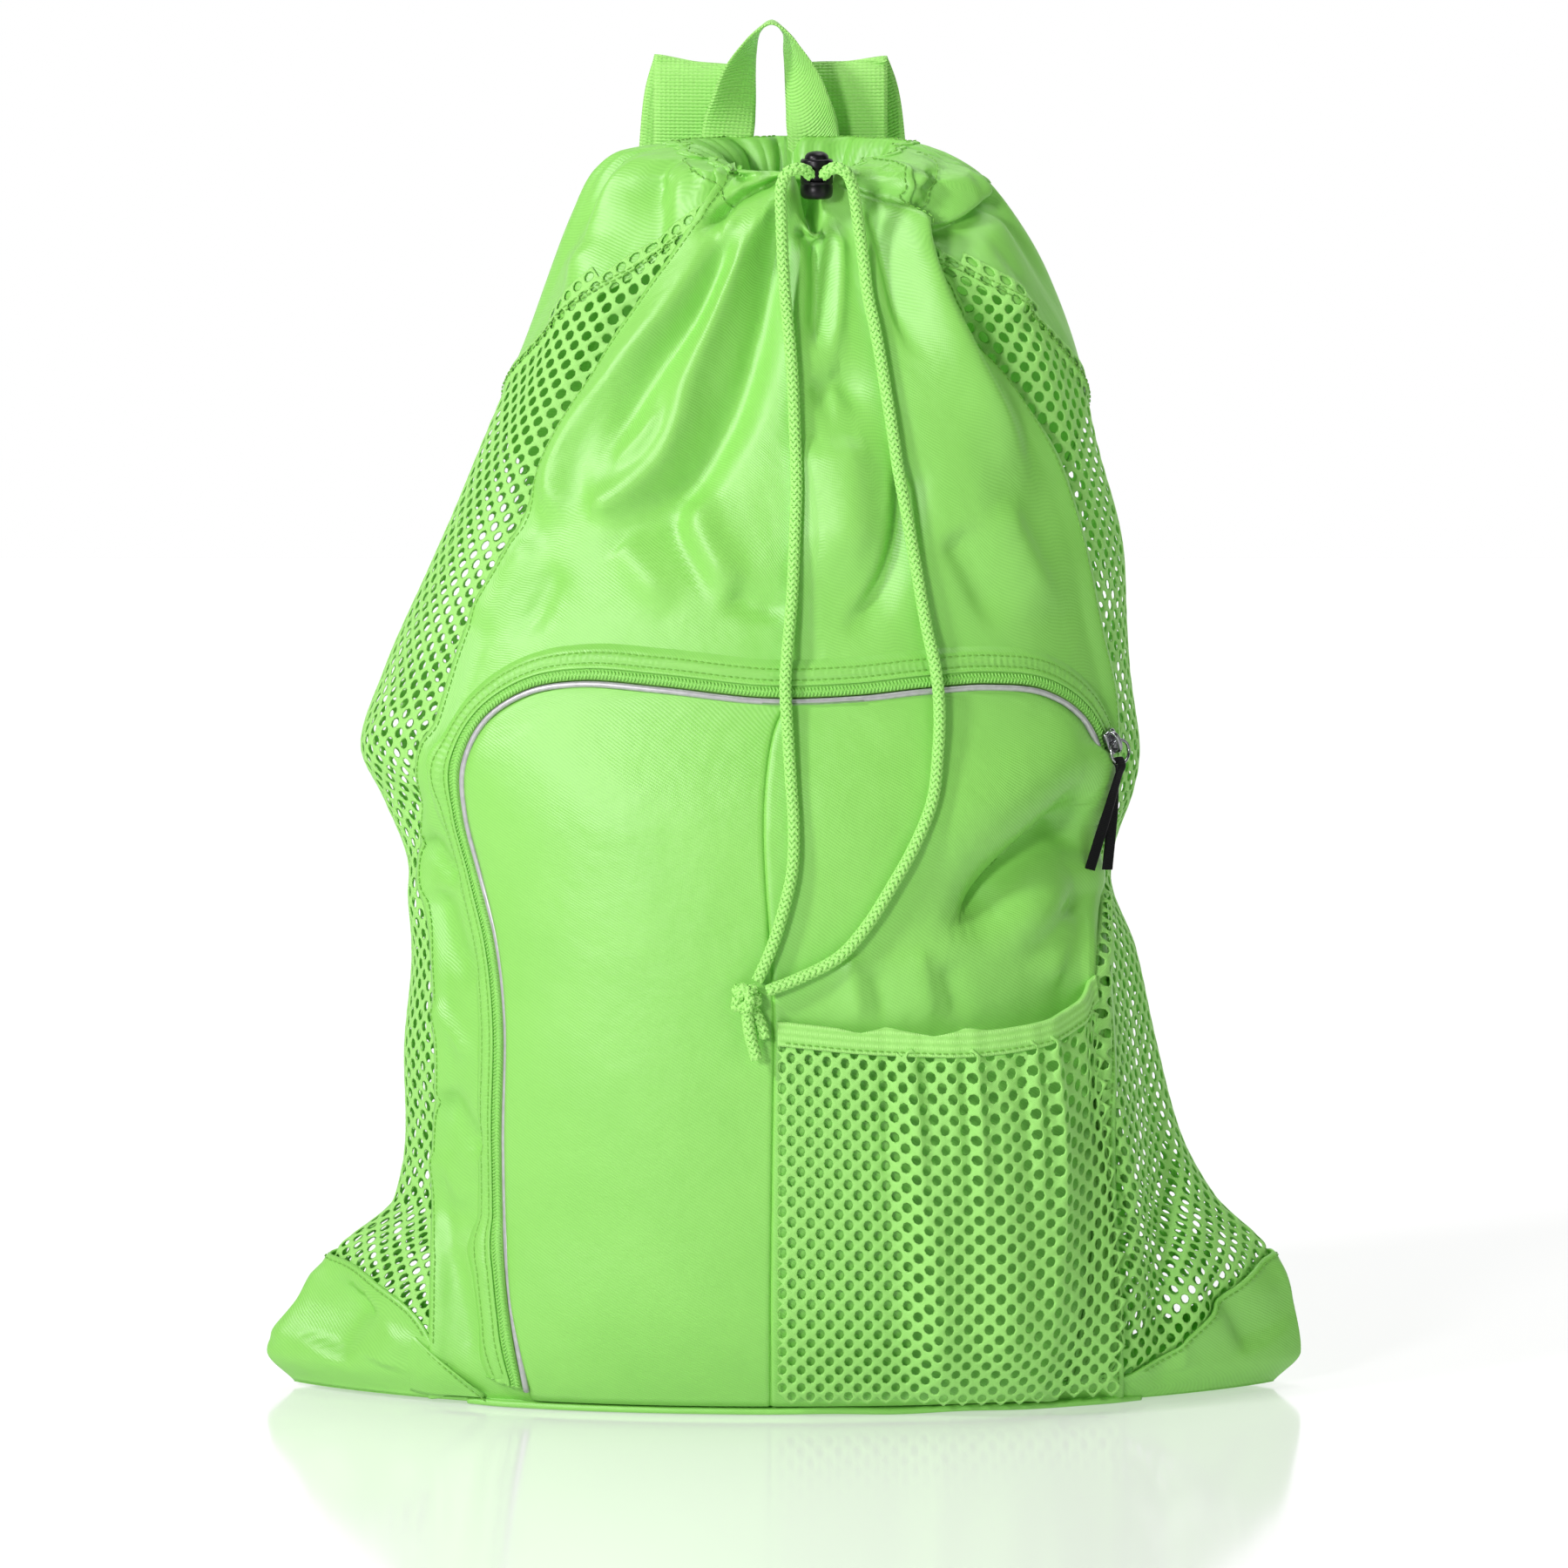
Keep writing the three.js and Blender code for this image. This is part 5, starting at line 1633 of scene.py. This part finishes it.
def flapLift(offset, run):
    share = (offset - flapLook["near"]) / (flapLook["far"] - flapLook["near"])
    rise = flapLook["height"] - sum(drop * ramp(share, start, end) for drop, start, end in flapLook["falls"])
    groove = sum(bell((offset - row) / 0.9) for row in flapLook["rows"])
    between = bell((offset - flapLook["middle"]) / 2.4)
    pucker = np.sin(run * fullTurn / flapLook["pitch"])
    return rise - flapLook["groove"] * groove + flapLook["pucker"] * pucker * between


def makeFlap():
    t = np.linspace(edgeStart, edgeEnd, steps(760))
    run = runOf(shell(*edgePlace(t, flapLook["middle"])))
    offset = np.linspace(flapLook["near"], flapLook["far"], 16)
    angle, level = edgePlace(t[:, None], offset[None])
    points = skin(angle, level, flapLift(offset[None], run[:, None]))
    return makePiece("zipFlap", clothParts(points[:, ::-1], flapLook["thick"]), twill)


def stitchParts(angle, level, lift, pitch=stitchLook["pitch"], broad=1.0):
    line = skin(angle, level, lift, broad)
    run = runOf(line)
    marks = np.arange(pitch, run[-1], pitch)
    at, along = readAt(marks, run, line), unit(readAt(marks, run, np.gradient(line, axis=0)))
    out = shellNormal(np.interp(marks, run, angle), np.interp(marks, run, level))
    form, faces = bead(stitchLook["length"], stitchLook["wide"], stitchLook["tall"])
    return scatterParts(form, faces, at, along, unit(np.cross(out, along)), out)


def makeStitches():
    rows = []
    # Along the flap, the front's seams, the corners and the yokes
    fine = np.linspace(0.01, 0.99, 1200)
    for offset in flapLook["rows"]:
        rows.append((*edgePlace(fine, offset), flapLift(offset, 0.9) + 0.15, flapLook["pitch"]))
    for share, start in [(0, 1.45), (1, 0.5)]:
        line = np.linspace(start, 15.6, 700)
        angle, level = panelPlace("front", line, np.full(line.shape, float(share)), 0.5)
        rows.append((angle, level, stitchLook["seamLift"]))
    across = np.linspace(0.03, 0.97, 300)
    for side in sideOf.values():
        rows.append((*cornerPlace(side, np.ones(300), across, 2.2), stitchLook["cornerLift"]))
        for row in (yokeEdge[side] + 0.02, yokeEdge[side] + 0.1):
            rows.append((*sidePlace(side, np.full(300, row), across), stitchLook["yokeLift"]))
    # Along the binding, the corner tab, the cord's sleeve and the hem
    across = np.linspace(0.01, 0.99, 300)
    level = netTop.at("level", across) - bindingTall + 2
    lift = pocketNetLift(across, level, bindingLook["gathered"]) + stitchLook["bindingLift"]
    rows.append((pocketNetPlace(across, level), level, lift, stitchLook["pitch"], broadSlope))
    x = np.linspace(-172, tabLook["end"], 60)
    level = tabTop(x) - 2
    rows.append((angleAt(x, level), level, stitchLook["tabLift"]))
    for sleeve in sleeveLines:
        x, level = Curve(sleeve).spaced(1).T
        rows.append((angleAt(x, level), level, stitchLook["seamLift"]))
    hem = np.linspace(-178, 178, 900)
    rows.append((hem, np.full(900, hemStart + 1.5), stitchLook["hemLift"]))
    return makePiece("stitches", joinParts([stitchParts(*row) for row in rows]), thread)


makeFlap()
makeStitches()
print("stitches made")


# Stage: pale floor and backdrop, a key light from the upper left, another nearer the camera, and weaker fills
stageLook = {
    "floor": 0.55,
    "glow": 0.37,
    "backdrop": 1.0,
    "surround": 0.055,
    "half": 8,
    "wall": 4,
    "tall": 7,
    "reach": 16.0,
    "aim": (0, 0, 0.3),
}
lamps = [
    ("key", (-1.9, -1.4, 1.85), 0.34, 43, (1, 0.95, 1)),
    ("front", (-1.2, -2.5, 1.0), 0.42, 37, (1, 0.95, 1)),
    ("fill", (1.9, -2.0, 0.9), 1.6, 10, (0.8, 1, 0.7)),
    ("top", (0.4, 0.2, 2.2), 1.0, 14, (1, 1, 1)),
]
innerLook = {"levels": (0.1, 0.22, 0.34, 0.46), "power": 0.06, "radius": 0.03, "tint": (0.9, 1, 0.8)}


def makeSheet(name, corners, faces, **values):
    mesh = bpy.data.meshes.new(name)
    mesh.from_pydata(corners, [], faces)
    mesh.materials.append(Shade(name).done(**values))
    sheet = bpy.data.objects.new(name, mesh)
    bpy.context.scene.collection.objects.link(sheet)
    return sheet


def makeLamp(name, kind, spot, power, tint):
    light = bpy.data.lights.new(name, kind)
    light.energy = power
    light.color = tint
    lamp = bpy.data.objects.new(name, light)
    lamp.location = spot
    bpy.context.scene.collection.objects.link(lamp)
    return lamp


def makeStage():
    pale = (stageLook["floor"],) * 3 + (1,)
    glow = {"Emission Color": (1, 1, 1, 1), "Emission Strength": stageLook["glow"]}
    half, wallY, tall = stageLook["half"], stageLook["wall"], stageLook["tall"]
    floor = [(-half, -half, 0), (half, -half, 0), (half, wallY, 0), (-half, wallY, 0)]
    gloss = {"Base Color": pale, "Roughness": 0.12, "Specular IOR Level": 0.5}
    makeSheet("floor", floor, [(0, 1, 2, 3)], **gloss, **glow)
    glow["Emission Strength"] = stageLook["backdrop"]
    plain = {"Base Color": (0, 0, 0, 1), "Roughness": 1.0, "Specular IOR Level": 0.0, **glow}
    wall = [(-half, wallY, -0.5), (half, wallY, -0.5), (half, wallY, tall), (-half, wallY, tall)]
    makeSheet("softWall", wall, [(0, 1, 2, 3)], **plain).visible_camera = False
    # A white surround that is seen past the floor and gives no light
    reach = stageLook["reach"]
    rim = [(reach * math.cos(t), reach * math.sin(t), z) for z in (-reach, reach) for t in around(48)]
    surround = makeSheet("backdrop", rim, gridFaces(2, 48, 0, True).tolist(), **plain)
    surround.visible_diffuse = surround.visible_glossy = surround.visible_shadow = False
    world = bpy.data.worlds.new("surround")
    world.use_nodes = True
    light = world.node_tree.nodes["Background"].inputs
    light[0].default_value, light[1].default_value = (1, 1, 1, 1), stageLook["surround"]
    bpy.context.scene.world = world
    for name, spot, size, power, tint in lamps:
        lamp = makeLamp(name, "AREA", spot, power, tint)
        lamp.data.size = size
        aim = Vector(stageLook["aim"]) - Vector(spot)
        lamp.rotation_euler = aim.to_track_quat("-Z", "Y").to_euler()
    # The light that thin cloth lets through into the bag
    for level in innerLook["levels"]:
        lamp = makeLamp("inner", "POINT", (0, 0, level), innerLook["power"], innerLook["tint"])
        lamp.data.shadow_soft_size = innerLook["radius"]
        lamp.visible_camera = lamp.visible_glossy = False
    bpy.context.scene.view_settings.view_transform = "Standard"


makeStage()
